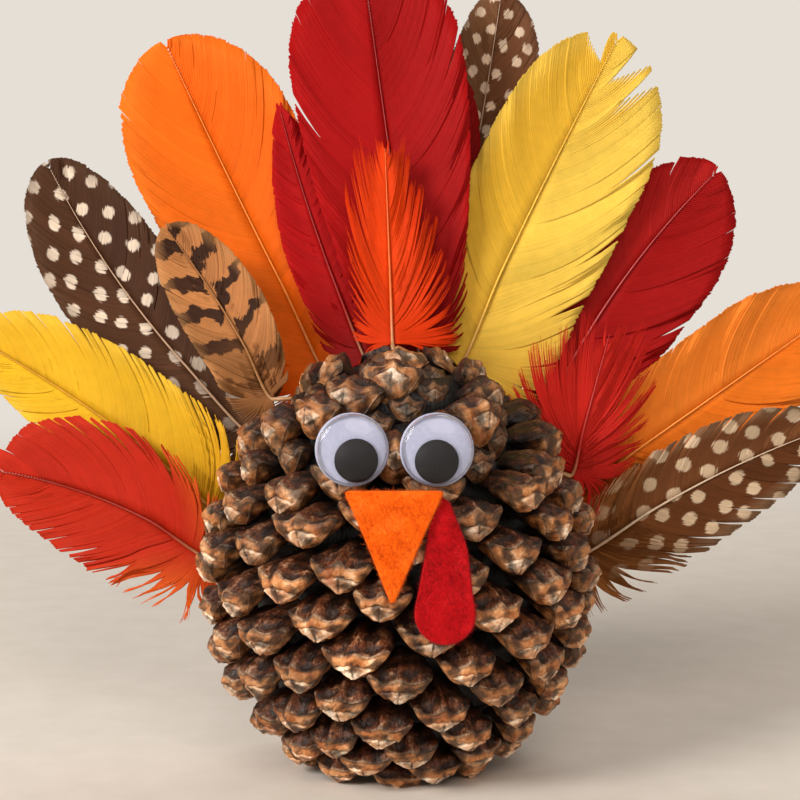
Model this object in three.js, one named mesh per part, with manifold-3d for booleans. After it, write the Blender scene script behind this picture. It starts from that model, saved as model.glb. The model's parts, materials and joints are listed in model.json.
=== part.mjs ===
import * as THREE from 'three';
import Module from 'manifold-3d';

const wasm = await Module();
wasm.setup();

// Driving dimensions in millimetres and degrees, +Z up, front of the figure toward -Y
const coneRadius = 43;
const coneHeight = 92;
const lowestLatitude = -66;
const highestLatitude = 86;
const tierCount = 9;
const scalesPerTier = 21;
const divergence = 137.50776;
const spiralStart = 354;
const crowding = 0.16;
const droop = -29;
const riseAbove = 0.55;
const droopBelow = 0.45;
const topRise = 45;
const topRiseFrom = 40;
const scaleWidth = 14.2;
const neckWidth = 3;
const neckHeight = 1.6;
const umboReach = 1.2;
const umboDrop = 3.2;
const rachisRadius = 7.5;
const rachisTopRadius = 3.7;
const rachisTaperStart = 0.56;
const rachisTopInset = 1;
const collarWall = 1.6;
const lowestRoot = 9;
const highestRoot = 87.5;
const gap = 0.3;

const quillRadius = 0.8;
const shaftTipRadius = 0.3;
const quillDepth = 5;
const quillShare = 0.25;
const vaneThickness = 0.6;
const vaneCamber = 0.9;
const fanLean = 7;
const settleAt = 0.3;
const quillPull = 0.45;
const shaftReach = 0.97;
const layerDepth = [0.28, 0.41, 0.525, 0.63, 0.735];

const eyeDiameter = 15;
const eyeSpacing = 17.2;
const eyeMiddle = -0.5;
const eyeBelowTop = 17.4;
const faceTilt = 8;
const eyeBackThickness = 1.0;
const domeHeight = 3.2;
const domeWall = 0.5;
const pupilDiameter = 8.9;
const pupilThickness = 0.7;
const pupilPlay = 0.14;
const pupilRest = { left: 22, right: 0 };

const feltThickness = 1.2;
const feltTilt = 13;
const beakWidth = 20.1;
const beakLength = 22.6;
const beakTipShift = -0.35;
const beakBelowEyes = 0.4;
const wattleLength = 31;
const wattleWidth = 12.6;
const wattleShift = 10.2;
const wattleTop = 1.2;
const seatMargin = 1.5;

// One row per feather: carrying scale, depth layer, fan angle from vertical, exposed length, side bow, bare
// quill, half widths left and right of the shaft, where it is widest, and the share of width at its base
const feathers = {
  red_low_left: {
    seat: 85, layer: 0, fan: -69.1, length: 54.0, bow: -3.4, bare: 1.5,
    left: 17.3, right: 17, widest: 0.42, base: 0.7,
  },
  yellow_left: {
    seat: 98, layer: 1, fan: -55.3, length: 75.5, bow: -2.6, bare: 2,
    left: 11.5, right: 16, widest: 0.45, base: 0.6,
  },
  spotted_left: {
    seat: 132, layer: 2, fan: -38.0, length: 81.6, bow: 4, bare: 3,
    left: 15, right: 13, widest: 0.6, base: 0.55,
  },
  barred_left: {
    seat: 153, layer: 0, fan: -32.3, length: 46.6, bow: -1.3, bare: 1.5,
    left: 10.2, right: 9.4, widest: 0.45, base: 0.75,
  },
  orange_left: {
    seat: 158, layer: 3, fan: -26.5, length: 89.3, bow: 0.6, bare: 2,
    left: 18.8, right: 20, widest: 0.68, base: 0.42,
  },
  crimson_left: {
    seat: 171, layer: 2, fan: -19.2, length: 63.1, bow: 1.4, bare: 2,
    left: 6.8, right: 12, widest: 0.35, base: 0.85,
  },
  red_centre: {
    seat: 176, layer: 1, fan: -8.0, length: 91.7, bow: 0, bare: 2,
    left: 18.7, right: 18.7, widest: 0.72, base: 0.45,
  },
  crimson_centre: {
    seat: 163, layer: 3, fan: 10.2, length: 71.5, bow: -1.8, bare: 2,
    left: 7, right: 8, widest: 0.6, base: 0.6,
  },
  spotted_top: {
    seat: 142, layer: 4, fan: 10.6, length: 101.2, bow: -1, bare: 4,
    left: 10, right: 10, widest: 0.7, base: 0.4,
  },
  orange_fluff: {
    seat: 184, layer: 0, fan: -2.3, length: 45.5, bow: 0, bare: 1,
    left: 10.6, right: 13, widest: 0.38, base: 0.8,
  },
  yellow_right: {
    seat: 168, layer: 2, fan: 26.3, length: 85.7, bow: 0.6, bare: 2,
    left: 16.5, right: 19.5, widest: 0.5, base: 0.75,
  },
  red_right: {
    seat: 126, layer: 3, fan: 34.5, length: 79.4, bow: 4.2, bare: 3,
    left: 14, right: 16.4, widest: 0.62, base: 0.5,
  },
  red_fluff: {
    seat: 118, layer: 0, fan: 15.3, length: 34.5, bow: 0, bare: 5.5,
    left: 11.5, right: 12.5, widest: 0.42, base: 0.6,
  },
  orange_right: {
    seat: 105, layer: 1, fan: 55.7, length: 82.4, bow: 0, bare: 3,
    left: 14.6, right: 14, widest: 0.65, base: 0.5,
  },
  spotted_right: {
    seat: 84, layer: 0, fan: 63.4, length: 67.2, bow: 2.6, bare: 2,
    left: 11, right: 13.2, widest: 0.5, base: 0.75,
  },
};

// Section of a scale from neck to tip: share of length, share of width, height above and below its axis
const scaleSections = [
  { along: 0.28, width: 0.5, top: 1, bottom: 1.3 },
  { along: 0.62, width: 0.88, top: 1.6, bottom: 2.3 },
  { along: 0.86, width: 1, top: 2.4, bottom: 4 },
  { along: 0.98, width: 0.94, top: 1.6, bottom: 4.9 },
];

const rad = THREE.MathUtils.degToRad;
const lerp = THREE.MathUtils.lerp;
const vec = (x, y, z) => new THREE.Vector3(x, y, z);
const at = (p, ...moves) => moves.reduce((q, [d, k]) => q.addScaledVector(d, k), p.clone());
const upward = vec(0, 0, 1);

// Solid from points and triangles, turned so that its faces look out
function solid(points, faces) {
  let volume = 0;
  for (const [a, b, c] of faces) {
    volume += points[a].dot(points[b].clone().cross(points[c]));
  }
  const out = volume < 0 ? faces.map(([a, b, c]) => [a, c, b]) : faces;
  return { points, faces: out };
}

// Skin over rings with equal counts, each end closed by the given point
function loft(rings, start, end) {
  const n = rings[0].length;
  const points = [...rings.flat(), start, end];
  const first = points.length - 2;
  const faces = [];
  for (let k = 0; k + 1 < rings.length; k += 1) {
    for (let j = 0; j < n; j += 1) {
      const a = k * n + j;
      const b = k * n + ((j + 1) % n);
      faces.push([a, b, b + n], [a, b + n, a + n]);
    }
  }
  const last = (rings.length - 1) * n;
  for (let j = 0; j < n; j += 1) {
    const next = (j + 1) % n;
    faces.push([first, next, j], [last + j, last + next, first + 1]);
  }
  return solid(points, faces);
}

// Turned body about a frame's w axis: profile of [radius, height], first and last on the axis
function turned(profile, frame, segments) {
  const spot = (r, h, j) => {
    const a = (2 * Math.PI * j) / segments;
    return at(frame.o, [frame.u, r * Math.cos(a)], [frame.v, r * Math.sin(a)], [frame.w, h]);
  };
  const rings = profile.slice(1, -1).map(([r, h]) => {
    return Array.from({ length: segments }, (_, j) => spot(r, h, j));
  });
  return loft(rings, spot(0, profile[0][1], 0), spot(0, profile.at(-1)[1], 0));
}

// Turned ring about +Z: closed profile of [radius, height]
function turnedRing(profile, segments) {
  const m = profile.length;
  const points = [];
  const faces = [];
  for (let j = 0; j < segments; j += 1) {
    const a = (2 * Math.PI * j) / segments;
    for (const [r, h] of profile) {
      points.push(vec(r * Math.cos(a), r * Math.sin(a), h));
    }
    for (let k = 0; k < m; k += 1) {
      const p = j * m + k;
      const q = j * m + ((k + 1) % m);
      const p2 = ((j + 1) % segments) * m + k;
      const q2 = ((j + 1) % segments) * m + ((k + 1) % m);
      faces.push([p, q, q2], [p, q2, p2]);
    }
  }
  return solid(points, faces);
}

// Flat plate: outline in a frame's u and v, from height 0 to the thickness along w
function plate(outline, thickness, frame) {
  const shape = new THREE.Shape(outline.map(([u, v]) => new THREE.Vector2(u, v)));
  const geometry = new THREE.ExtrudeGeometry(shape, { depth: thickness, bevelEnabled: false });
  const basis = new THREE.Matrix4().makeBasis(frame.u, frame.v, frame.w).setPosition(frame.o);
  return geometry.applyMatrix4(basis);
}

function toManifold(body) {
  const vertProperties = new Float32Array(body.points.flatMap((p) => p.toArray()));
  const triVerts = new Uint32Array(body.faces.flat());
  return new wasm.Manifold(new wasm.Mesh({ numProp: 3, vertProperties, triVerts }));
}

function fromManifold(shape) {
  const mesh = shape.getMesh();
  const points = [];
  for (let k = 0; k < mesh.vertProperties.length; k += mesh.numProp) {
    points.push(vec(mesh.vertProperties[k], mesh.vertProperties[k + 1], mesh.vertProperties[k + 2]));
  }
  const faces = [];
  for (let k = 0; k < mesh.triVerts.length; k += 3) {
    faces.push([mesh.triVerts[k], mesh.triVerts[k + 1], mesh.triVerts[k + 2]]);
  }
  return { points, faces };
}

function toGeometry(body) {
  const geometry = new THREE.BufferGeometry();
  const flat = body.points.flatMap((p) => p.toArray());
  geometry.setAttribute('position', new THREE.Float32BufferAttribute(flat, 3));
  geometry.setIndex(body.faces.flat());
  return geometry;
}

// Spiral of scales on an upright oval: every scale has a root on the rachis and a tip on the oval
const scaleCount = tierCount * scalesPerTier;
const lowSin = Math.sin(rad(lowestLatitude));
const highSin = Math.sin(rad(highestLatitude));
const halfHeight = coneHeight / (highSin - lowSin);
const bellyZ = -halfHeight * lowSin;
const taperZ = coneHeight * rachisTaperStart;

function rachisRadiusAt(z) {
  const k = THREE.MathUtils.clamp((z - taperZ) / (coneHeight - taperZ), 0, 1);
  return lerp(rachisRadius, rachisTopRadius, k);
}

function spiralScale(index) {
  const t = (index + 0.5) / scaleCount;
  const warped = t - (crowding * Math.sin(2 * Math.PI * t)) / (2 * Math.PI);
  const latitude = Math.asin(lerp(lowSin, highSin, warped));
  const turn = rad(spiralStart + index * divergence);
  const outward = vec(Math.cos(turn), Math.sin(turn), 0);
  const tipRadius = coneRadius * Math.cos(latitude);
  const tip = at(vec(0, 0, bellyZ + halfHeight * Math.sin(latitude)), [outward, tipRadius]);
  const crown = Math.max(latitude - rad(topRiseFrom), 0) / rad(highestLatitude - topRiseFrom);
  const rise = rad(droop) + latitude * (latitude < 0 ? droopBelow : riseAbove) + rad(topRise) * crown ** 2;
  const along = at(vec(0, 0, Math.sin(rise)), [outward, Math.cos(rise)]);
  const size = Math.sqrt((1 - crowding * Math.cos(2 * Math.PI * t)) / (1 + crowding));
  return { index, outward, tip, along, size, side: vec(-Math.sin(turn), Math.cos(turn), 0) };
}

// Each scale leaves its collar on the rachis and bends over until it points along its droop at the tip
const scales = Array.from({ length: scaleCount }, (_, index) => spiralScale(index));
const tierEdges = Array.from({ length: tierCount + 1 }, (_, k) => lerp(lowestRoot, highestRoot, k / tierCount));
const rootMargin = gap + neckHeight;

for (const scale of scales) {
  const tier = Math.floor(scale.index / scalesPerTier);
  const place = (scale.index % scalesPerTier) / (scalesPerTier - 1);
  const z = lerp(tierEdges[tier] + rootMargin, tierEdges[tier + 1] - rootMargin, place);
  scale.root = at(vec(0, 0, z), [scale.outward, rachisRadiusAt(z) + gap + collarWall / 2]);
  scale.length = scale.tip.distanceTo(scale.root);
  scale.middle = at(scale.tip, [scale.along, -scale.length / 2]);
  scale.above = scale.along.clone().cross(scale.side);
}

function scaleSpot(scale, u) {
  const p = vec(0, 0, 0).addScaledVector(scale.root, (1 - u) ** 2);
  return p.addScaledVector(scale.middle, 2 * u * (1 - u)).addScaledVector(scale.tip, u * u);
}

function scaleRing(scale, u, width, top, bottom) {
  const centre = scaleSpot(scale, u);
  const heading = scaleSpot(scale, u + 0.01).sub(scaleSpot(scale, u - 0.01)).normalize();
  const above = heading.cross(scale.side);
  const edge = (top - bottom) / 2;
  const corners = [[-0.5, edge], [0, top], [0.5, edge], [0.24, -bottom], [-0.24, -bottom]];
  return corners.map(([s, h]) => at(centre, [scale.side, s * width], [above, h]));
}

function scaleBody(scale) {
  const half = neckHeight / 2;
  const rings = [scaleRing(scale, 0, neckWidth, half, half)];
  for (const part of scaleSections) {
    const width = scaleWidth * scale.size * part.width;
    rings.push(scaleRing(scale, part.along, width, part.top * scale.size, part.bottom * scale.size));
  }
  const umbo = at(scale.tip, [scale.along, umboReach * scale.size], [scale.above, -umboDrop * scale.size]);
  return loft(rings, scale.root, umbo);
}

function collarBody(tier) {
  const low = tierEdges[tier] + gap / 2;
  const high = tierEdges[tier + 1] - gap / 2;
  const inner = (z) => rachisRadiusAt(z) + gap;
  const outer = (z) => inner(z) + collarWall;
  return turnedRing([[inner(low), low], [outer(low), low], [outer(high), high], [inner(high), high]], 16);
}

const tableBox = new THREE.BoxGeometry(4 * coneRadius, 4 * coneRadius, coneRadius);
tableBox.translate(0, 0, -coneRadius / 2);
const tablePoints = [];
const tableCorner = tableBox.getAttribute('position');
const cornerOf = new Map();
const tableFaces = [];
for (let k = 0; k < tableBox.index.count; k += 3) {
  const face = [0, 1, 2].map((j) => {
    const p = vec().fromBufferAttribute(tableCorner, tableBox.index.getX(k + j));
    const key = p.toArray().join();
    if (!cornerOf.has(key)) {
      cornerOf.set(key, tablePoints.push(p) - 1);
    }
    return cornerOf.get(key);
  });
  tableFaces.push(face);
}
const belowTable = toManifold(solid(tablePoints, tableFaces));

const tiers = Array.from({ length: tierCount }, (_, tier) => {
  let shape = toManifold(collarBody(tier));
  for (const scale of scales.slice(tier * scalesPerTier, (tier + 1) * scalesPerTier)) {
    shape = shape.add(toManifold(scaleBody(scale)));
  }
  return fromManifold(shape.subtract(belowTable));
});

// Rachis: a turned core with its stem end trimmed flat to stand on
const rachisTop = tierEdges[tierCount] - rachisTopInset;
const worldFrame = { o: vec(0, 0, 0), u: vec(1, 0, 0), v: vec(0, 1, 0), w: upward };
const rachis = turned([
  [0, 0],
  [rachisRadius, 0],
  [rachisRadius, taperZ],
  [rachisRadiusAt(rachisTop), rachisTop],
  [0, rachisTop],
], worldFrame, 16);

// Feathers: the quill lies on its carrying scale, then the shaft bends into its layer of the fan
function layerY(layer, x, z) {
  const reach = Math.hypot(x, z - bellyZ) - coneRadius;
  return layerDepth[layer] * coneRadius + Math.tan(rad(fanLean)) * reach;
}

function featherLine(spec) {
  const scale = scales[spec.seat];
  const scaleTop = Math.max(...scaleSections.map((part) => part.top)) * scale.size;
  const mouth = at(scale.tip, [scale.above, scaleTop + gap + quillRadius]);
  const out = vec(Math.sin(rad(spec.fan)), 0, Math.cos(rad(spec.fan)));
  const left = vec(-out.z, 0, out.x);
  const end = at(mouth, [out, spec.length]);
  const middle = at(mouth, [out, spec.length / 2], [left, 2 * spec.bow]);
  const settled = (s) => {
    const p = vec(0, 0, 0);
    p.addScaledVector(mouth, (1 - s) ** 2);
    p.addScaledVector(middle, 2 * s * (1 - s));
    p.addScaledVector(end, s * s);
    p.y = layerY(spec.layer, p.x, p.z);
    return p;
  };
  const join = settled(settleAt);
  const joinSlope = settled(settleAt + 0.01).sub(settled(settleAt - 0.01)).multiplyScalar(settleAt / 0.02);
  const startSlope = scale.along.clone().multiplyScalar(spec.length * settleAt * quillPull);
  const bend = (k) => {
    const p = vec(0, 0, 0);
    p.addScaledVector(mouth, 2 * k ** 3 - 3 * k ** 2 + 1);
    p.addScaledVector(startSlope, k ** 3 - 2 * k ** 2 + k);
    p.addScaledVector(join, 3 * k ** 2 - 2 * k ** 3);
    p.addScaledVector(joinSlope, k ** 3 - k ** 2);
    return p;
  };
  const place = (s) => (s < settleAt ? bend(s / settleAt) : settled(s));
  const heading = (s) => place(s + 0.005).sub(place(Math.max(s - 0.005, 0))).normalize();
  return { scale, mouth, place, heading };
}

function shaftBody(spec) {
  const line = featherLine(spec);
  const stations = [0.06, 0.12, 0.18, 0.24, 0.3, 0.44, 0.58, 0.72, 0.86, shaftReach];
  const depth = Math.min(quillDepth, quillShare * line.scale.length);
  const spots = [at(line.mouth, [line.scale.along, -depth]), line.mouth, ...stations.map(line.place)];
  const headings = [line.scale.along, line.scale.along, ...stations.map(line.heading)];
  const taper = stations.map((s) => lerp(quillRadius, shaftTipRadius, s));
  const radii = [0.7 * quillRadius, quillRadius, ...taper];
  const rings = spots.map((spot, k) => {
    const across = vec(-headings[k].z, 0, headings[k].x).normalize();
    const front = across.clone().cross(headings[k]);
    return [0, 60, 120, 180, 240, 300].map((a) => {
      const c = radii[k] * Math.cos(rad(a));
      return at(spot, [across, c], [front, radii[k] * Math.sin(rad(a))]);
    });
  });
  return loft(rings, spots[0], spots.at(-1));
}

function vaneShare(spec, f) {
  if (f < spec.widest) {
    return lerp(spec.base, 1, Math.sin((Math.PI / 2) * (f / spec.widest)));
  }
  const k = (f - spec.widest) / (1 - spec.widest);
  return Math.max(Math.sqrt(1 - k ** 2.2), 0.05);
}

function vaneBody(spec) {
  const line = featherLine(spec);
  const first = spec.bare / spec.length;
  const shares = [0, 0.06, 0.14, 0.23, 0.33, 0.44, 0.55, 0.66, 0.76, 0.85, 0.92, 0.97, 1];
  const rings = shares.map((f) => {
    const s = lerp(first, 1, f);
    const spot = line.place(s);
    const heading = line.heading(Math.min(s, 0.995));
    const left = vec(-heading.z, 0, heading.x).normalize();
    const share = vaneShare(spec, f);
    const edge = (reach, bow, behind) => {
      const p = at(spot, [left, reach]);
      const slope = layerY(spec.layer, p.x, p.z) - layerY(spec.layer, spot.x, spot.z);
      p.y += slope + quillRadius + gap + bow + behind;
      return p;
    };
    const curl = vaneCamber * share;
    const across = [[spec.left * share, curl], [0, 0], [-spec.right * share, curl]];
    const front = across.map(([reach, bow]) => edge(reach, bow, 0));
    const back = across.map(([reach, bow]) => edge(reach, bow, vaneThickness)).reverse();
    return [...front, ...back];
  });
  const midway = (ring) => ring[1].clone().add(ring[4]).multiplyScalar(0.5);
  return loft(rings, midway(rings[0]), midway(rings.at(-1)));
}

// Face: each piece rests on the scale tip that stands out most behind it, with the glue film as its gap
const eyeHeight = coneHeight - eyeBelowTop;
const conePoints = tiers.flatMap((tier) => tier.faces.flatMap(([a, b, c]) => {
  const spots = [];
  for (let i = 0; i <= 4; i += 1) {
    for (let j = 0; i + j <= 4; j += 1) {
      const p = vec(0, 0, 0).addScaledVector(tier.points[a], i / 4).addScaledVector(tier.points[b], j / 4);
      spots.push(p.addScaledVector(tier.points[c], (4 - i - j) / 4));
    }
  }
  return spots;
})).filter((p) => p.y < 0);

function facingFrame(x, z, tilt) {
  const w = vec(0, -Math.cos(rad(tilt)), Math.sin(rad(tilt)));
  const u = vec(1, 0, 0);
  const girth = coneRadius * Math.sqrt(1 - ((z - bellyZ) / halfHeight) ** 2);
  return { o: vec(x, -Math.sqrt(girth ** 2 - x ** 2), z), u, v: w.clone().cross(u), w };
}

function frontmost(frame, covers) {
  let best = { h: -Infinity };
  for (const p of conePoints) {
    const d = p.clone().sub(frame.o);
    const [u, v, h] = [d.dot(frame.u), d.dot(frame.v), d.dot(frame.w)];
    if (h > best.h && covers(u, v)) {
      best = { u, v, h };
    }
  }
  return best;
}

function nearOutline(outline, margin) {
  return (u, v) => {
    let inside = false;
    let near = Infinity;
    outline.forEach(([u0, v0], k) => {
      const [u1, v1] = outline[(k + 1) % outline.length];
      if (v0 > v !== v1 > v && u < ((u1 - u0) * (v - v0)) / (v1 - v0) + u0) {
        inside = !inside;
      }
      const k2 = THREE.MathUtils.clamp(
        ((u - u0) * (u1 - u0) + (v - v0) * (v1 - v0)) / ((u1 - u0) ** 2 + (v1 - v0) ** 2), 0, 1);
      near = Math.min(near, Math.hypot(u - lerp(u0, u1, k2), v - lerp(v0, v1, k2)));
    });
    return inside || near < margin;
  };
}

function raised(frame, h) {
  return { ...frame, o: at(frame.o, [frame.w, h]) };
}

function eyeBodies(side) {
  const sign = side === 'left' ? -1 : 1;
  const radius = eyeDiameter / 2;
  const spot = facingFrame(eyeMiddle + (sign * eyeSpacing) / 2, eyeHeight, faceTilt);
  const seat = frontmost(spot, (u, v) => Math.hypot(u, v) < radius + seatMargin);
  const backAt = seat.h + gap;
  const frame = raised(spot, backAt + eyeBackThickness + gap);
  const cavity = radius - domeWall;
  const wallHeight = pupilThickness + 2 * gap;
  const crown = (r, low, high) => [0, 22, 44, 66].map((a) => {
    return [r * Math.cos(rad(a)), lerp(low, high, Math.sin(rad(a)))];
  });
  const outer = crown(radius, wallHeight, domeHeight);
  const inner = crown(cavity, wallHeight, domeHeight - domeWall).reverse();
  const profile = [[0, domeHeight], ...outer.reverse(), [radius, 0], [cavity, 0], ...inner.reverse()];
  const dome = turned([...profile, [0, domeHeight - domeWall]], frame, 20);
  const orbit = cavity - pupilDiameter / 2 - pupilPlay;
  const rest = rad(pupilRest[side]);
  const centre = at(frame.o, [frame.u, orbit * Math.sin(rest)], [frame.v, -orbit * Math.cos(rest)]);
  const r = pupilDiameter / 2;
  const disc = [[0, 0], [r, 0], [r, pupilThickness], [0, pupilThickness]];
  const pupil = turned(disc, { ...frame, o: centre }, 24);
  const plateProfile = [[0, 0], [radius, 0], [radius, eyeBackThickness], [0, eyeBackThickness]];
  const back = turned(plateProfile, raised(spot, backAt), 24);
  return { back, pupil, dome };
}

const eyes = { left: eyeBodies('left'), right: eyeBodies('right') };

// Felt beak and wattle: outlines hang down from one line under the eyes
const faceLine = eyeHeight - (eyeDiameter / 2) * Math.cos(rad(faceTilt)) - beakBelowEyes;
const feltFrame = facingFrame(eyeMiddle, faceLine, feltTilt);
const beakOutline = [
  [-0.5 * beakWidth, -0.4],
  [-0.46 * beakWidth, 0],
  [0.46 * beakWidth, 0],
  [0.5 * beakWidth, -0.4],
  [0.3 * beakWidth, -0.4 * beakLength],
  [beakTipShift + 0.4, -beakLength],
  [beakTipShift - 0.4, -beakLength],
  [-0.3 * beakWidth, -0.42 * beakLength],
];

function wattleOutline() {
  const r = wattleWidth / 2;
  const bottom = -wattleLength + r;
  const rim = Array.from({ length: 13 }, (_, k) => {
    const a = rad(lerp(-205, 25, k / 12));
    return [wattleShift + r * Math.cos(a), bottom + r * Math.sin(a)];
  });
  const shoulder = [wattleShift + 0.72 * r, 0.45 * bottom];
  const waist = [wattleShift - 0.62 * r, 0.5 * bottom];
  return [...rim, shoulder, [wattleShift + 0.1 * r, -wattleTop], [wattleShift - 0.4 * r, -wattleTop], waist];
}

const wattleLine = wattleOutline();
const wattleSeat = frontmost(feltFrame, nearOutline(wattleLine, seatMargin));
const wattleAt = wattleSeat.h + gap;
const wattle = plate(wattleLine, feltThickness, raised(feltFrame, wattleAt));
const beakSeat = frontmost(feltFrame, nearOutline(beakOutline, seatMargin));
const beakAt = Math.max(beakSeat.h, wattleAt + feltThickness) + gap;
const beak = plate(beakOutline, feltThickness, raised(feltFrame, beakAt));

// Materials and the named pieces
const finish = (color, roughness, metalness = 0) => ({ color, roughness, metalness });
const looks = {
  scale: finish('#7a5638', 0.85),
  core: finish('#5c3f28', 0.9),
  shaft: finish('#d8b98a', 0.5),
  red: finish('#a8141a', 0.8),
  crimson: finish('#7d0f1c', 0.8),
  orange: finish('#f0701a', 0.8),
  yellow: finish('#efa81c', 0.8),
  spotted: finish('#4a2f22', 0.8),
  barred: finish('#a8764a', 0.8),
  orangeFelt: finish('#f26a12', 0.95),
  redFelt: finish('#b8122a', 0.95),
  whitePlastic: finish('#f4f3ee', 0.35),
  blackPlastic: finish('#0b0b0c', 0.4),
  clearPlastic: finish('#f2f6f8', 0.05),
};

const figure = new THREE.Group();
figure.name = 'pine_cone_turkey';

function place(name, body, look) {
  const geometry = body.isBufferGeometry ? body : toGeometry(body);
  const mesh = new THREE.Mesh(geometry, new THREE.MeshStandardMaterial(looks[look]));
  mesh.name = name;
  figure.add(mesh);
}

place('cone_rachis', rachis, 'core');
tiers.forEach((tier, k) => place(`cone_tier_${k + 1}`, tier, 'scale'));
for (const [name, spec] of Object.entries(feathers)) {
  place(`shaft_${name}`, shaftBody(spec), 'shaft');
  place(`vane_${name}`, vaneBody(spec), name.split('_')[0]);
}
for (const side of ['left', 'right']) {
  place(`eye_back_${side}`, eyes[side].back, 'whitePlastic');
  place(`pupil_${side}`, eyes[side].pupil, 'blackPlastic');
  place(`eye_dome_${side}`, eyes[side].dome, 'clearPlastic');
}
place('beak', beak, 'orangeFelt');
place('wattle', wattle, 'redFelt');

export default figure;
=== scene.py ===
import functools
import json
import math
import types

import bpy
import numpy as np
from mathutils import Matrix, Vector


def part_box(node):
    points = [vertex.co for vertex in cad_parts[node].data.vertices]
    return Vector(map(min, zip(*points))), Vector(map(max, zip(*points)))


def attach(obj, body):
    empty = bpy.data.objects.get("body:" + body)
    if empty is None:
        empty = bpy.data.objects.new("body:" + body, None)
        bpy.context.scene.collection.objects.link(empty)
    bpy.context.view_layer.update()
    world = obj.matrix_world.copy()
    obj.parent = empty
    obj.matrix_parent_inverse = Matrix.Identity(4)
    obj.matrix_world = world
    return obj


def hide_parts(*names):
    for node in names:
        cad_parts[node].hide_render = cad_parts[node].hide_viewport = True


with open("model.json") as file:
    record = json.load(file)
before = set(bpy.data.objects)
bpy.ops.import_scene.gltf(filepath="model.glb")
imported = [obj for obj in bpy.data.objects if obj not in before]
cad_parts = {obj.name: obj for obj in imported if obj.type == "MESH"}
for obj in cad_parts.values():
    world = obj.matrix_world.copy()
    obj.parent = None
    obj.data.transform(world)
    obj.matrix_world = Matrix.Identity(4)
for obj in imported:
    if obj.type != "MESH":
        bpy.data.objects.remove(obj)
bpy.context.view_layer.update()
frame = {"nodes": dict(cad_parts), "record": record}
mm = 0.001  # sizes below are millimetres, Blender works in metres
print("frame loaded:", len(frame["nodes"]), "nodes")


def linear(hexCode):
    # sRGB hex to linear light: c / 12.92 in the darks, ((c + 0.055) / 1.055) to the power 2.4 above them
    c = np.array([int(hexCode[i:i + 2], 16) / 255 for i in (1, 3, 5)])
    c = np.where(c <= 0.04045, c / 12.92, ((c + 0.055) / 1.055) ** 2.4)
    return (*c.tolist(), 1.0)


def plug(node, inputs):
    # inputs by name, or a list in their order;
    # each takes a value, a socket or the first output of another node
    for key, value in inputs.items() if isinstance(inputs, dict) else enumerate(inputs):
        if isinstance(value, bpy.types.Node):
            value = value.outputs[0]
        if isinstance(value, bpy.types.NodeSocket):
            node.id_data.links.new(value, node.inputs[key])
        else:
            node.inputs[key].default_value = value


def addNode(tree, kind, inputs=(), stops=(), **settings):
    # one shader node: settings are its properties, stops the places and colours of a ramp
    node = tree.nodes.new("ShaderNode" + kind)
    for key, value in settings.items():
        setattr(node, key, value)
    plug(node, inputs)
    if stops:
        elements = node.color_ramp.elements
        while len(elements) < len(stops):
            elements.new(1.0)
        for element, (place, colour) in zip(elements, stops):
            element.position = place
            element.color = linear(colour)
    return node


def startMaterial(name):
    # an empty material: what adds its nodes, its principled shader and its output
    material = bpy.data.materials.new(name)
    material.use_nodes = True
    material.node_tree.nodes.clear()
    add = functools.partial(addNode, material.node_tree)
    shader = add("BsdfPrincipled")
    return material, add, shader, add("OutputMaterial", {"Surface": shader})


def addNoise(add, vector, scale, detail=2.0, rough=0.5, distortion=0.0):
    # cloudy noise, its grain 1 / scale of the vector's unit
    return add("TexNoise", {"Vector": vector, "Scale": scale, "Detail": detail, "Roughness": rough,
                            "Distortion": distortion})


def calculate(add, operation, *inputs):
    # one step of arithmetic
    return add("Math", inputs, operation=operation)


def readMark(add, name):
    # the value that a mesh carries at each point under this name
    return add("Attribute", attribute_name=name).outputs["Fac"]


def grainMaterial(name, scale, detail, dark, light, rough, gloss=0.5):
    # a plain material with a grain from dark to light
    material, add, shader, _ = startMaterial(name)
    grain = addNoise(add, add("TexCoord").outputs["Object"], scale, detail)
    tone = add("ValToRGB", [grain], stops=[(0.35, dark), (0.65, light)])
    plug(shader, {"Base Color": tone, "Roughness": rough, "Specular IOR Level": gloss})
    return material


def addObject(name, data):
    thing = bpy.data.objects.new(name, data)
    bpy.context.scene.collection.objects.link(thing)
    return thing


def gridQuads(rings, around):
    # four corners of each cell in a grid of rings, the last point of a ring joined to its first
    i, j = np.meshgrid(np.arange(rings - 1), np.arange(around), indexing="ij")
    k = (j + 1) % around
    cells = [i * around + j, i * around + k, (i + 1) * around + k, (i + 1) * around + j]
    return np.stack(cells, -1).reshape(-1, 4)


def closedGrid(rings, around):
    # the quads of a grid of rings, then the triangles that close its ends on the two points after it
    j = np.arange(around)
    k = (j + 1) % around
    last = rings * around
    start = np.stack([k, j, np.full(around, last)], -1)
    end = np.stack([last - around + j, last - around + k, np.full(around, last + 1)], -1)
    return [gridQuads(rings, around), np.concatenate([start, end])]


def copies(faces, count, step):
    # the same faces for a row of equal shapes, each numbered on by step points
    return (faces[None] + (np.arange(count) * step)[:, None, None]).reshape(-1, faces.shape[1])


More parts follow.
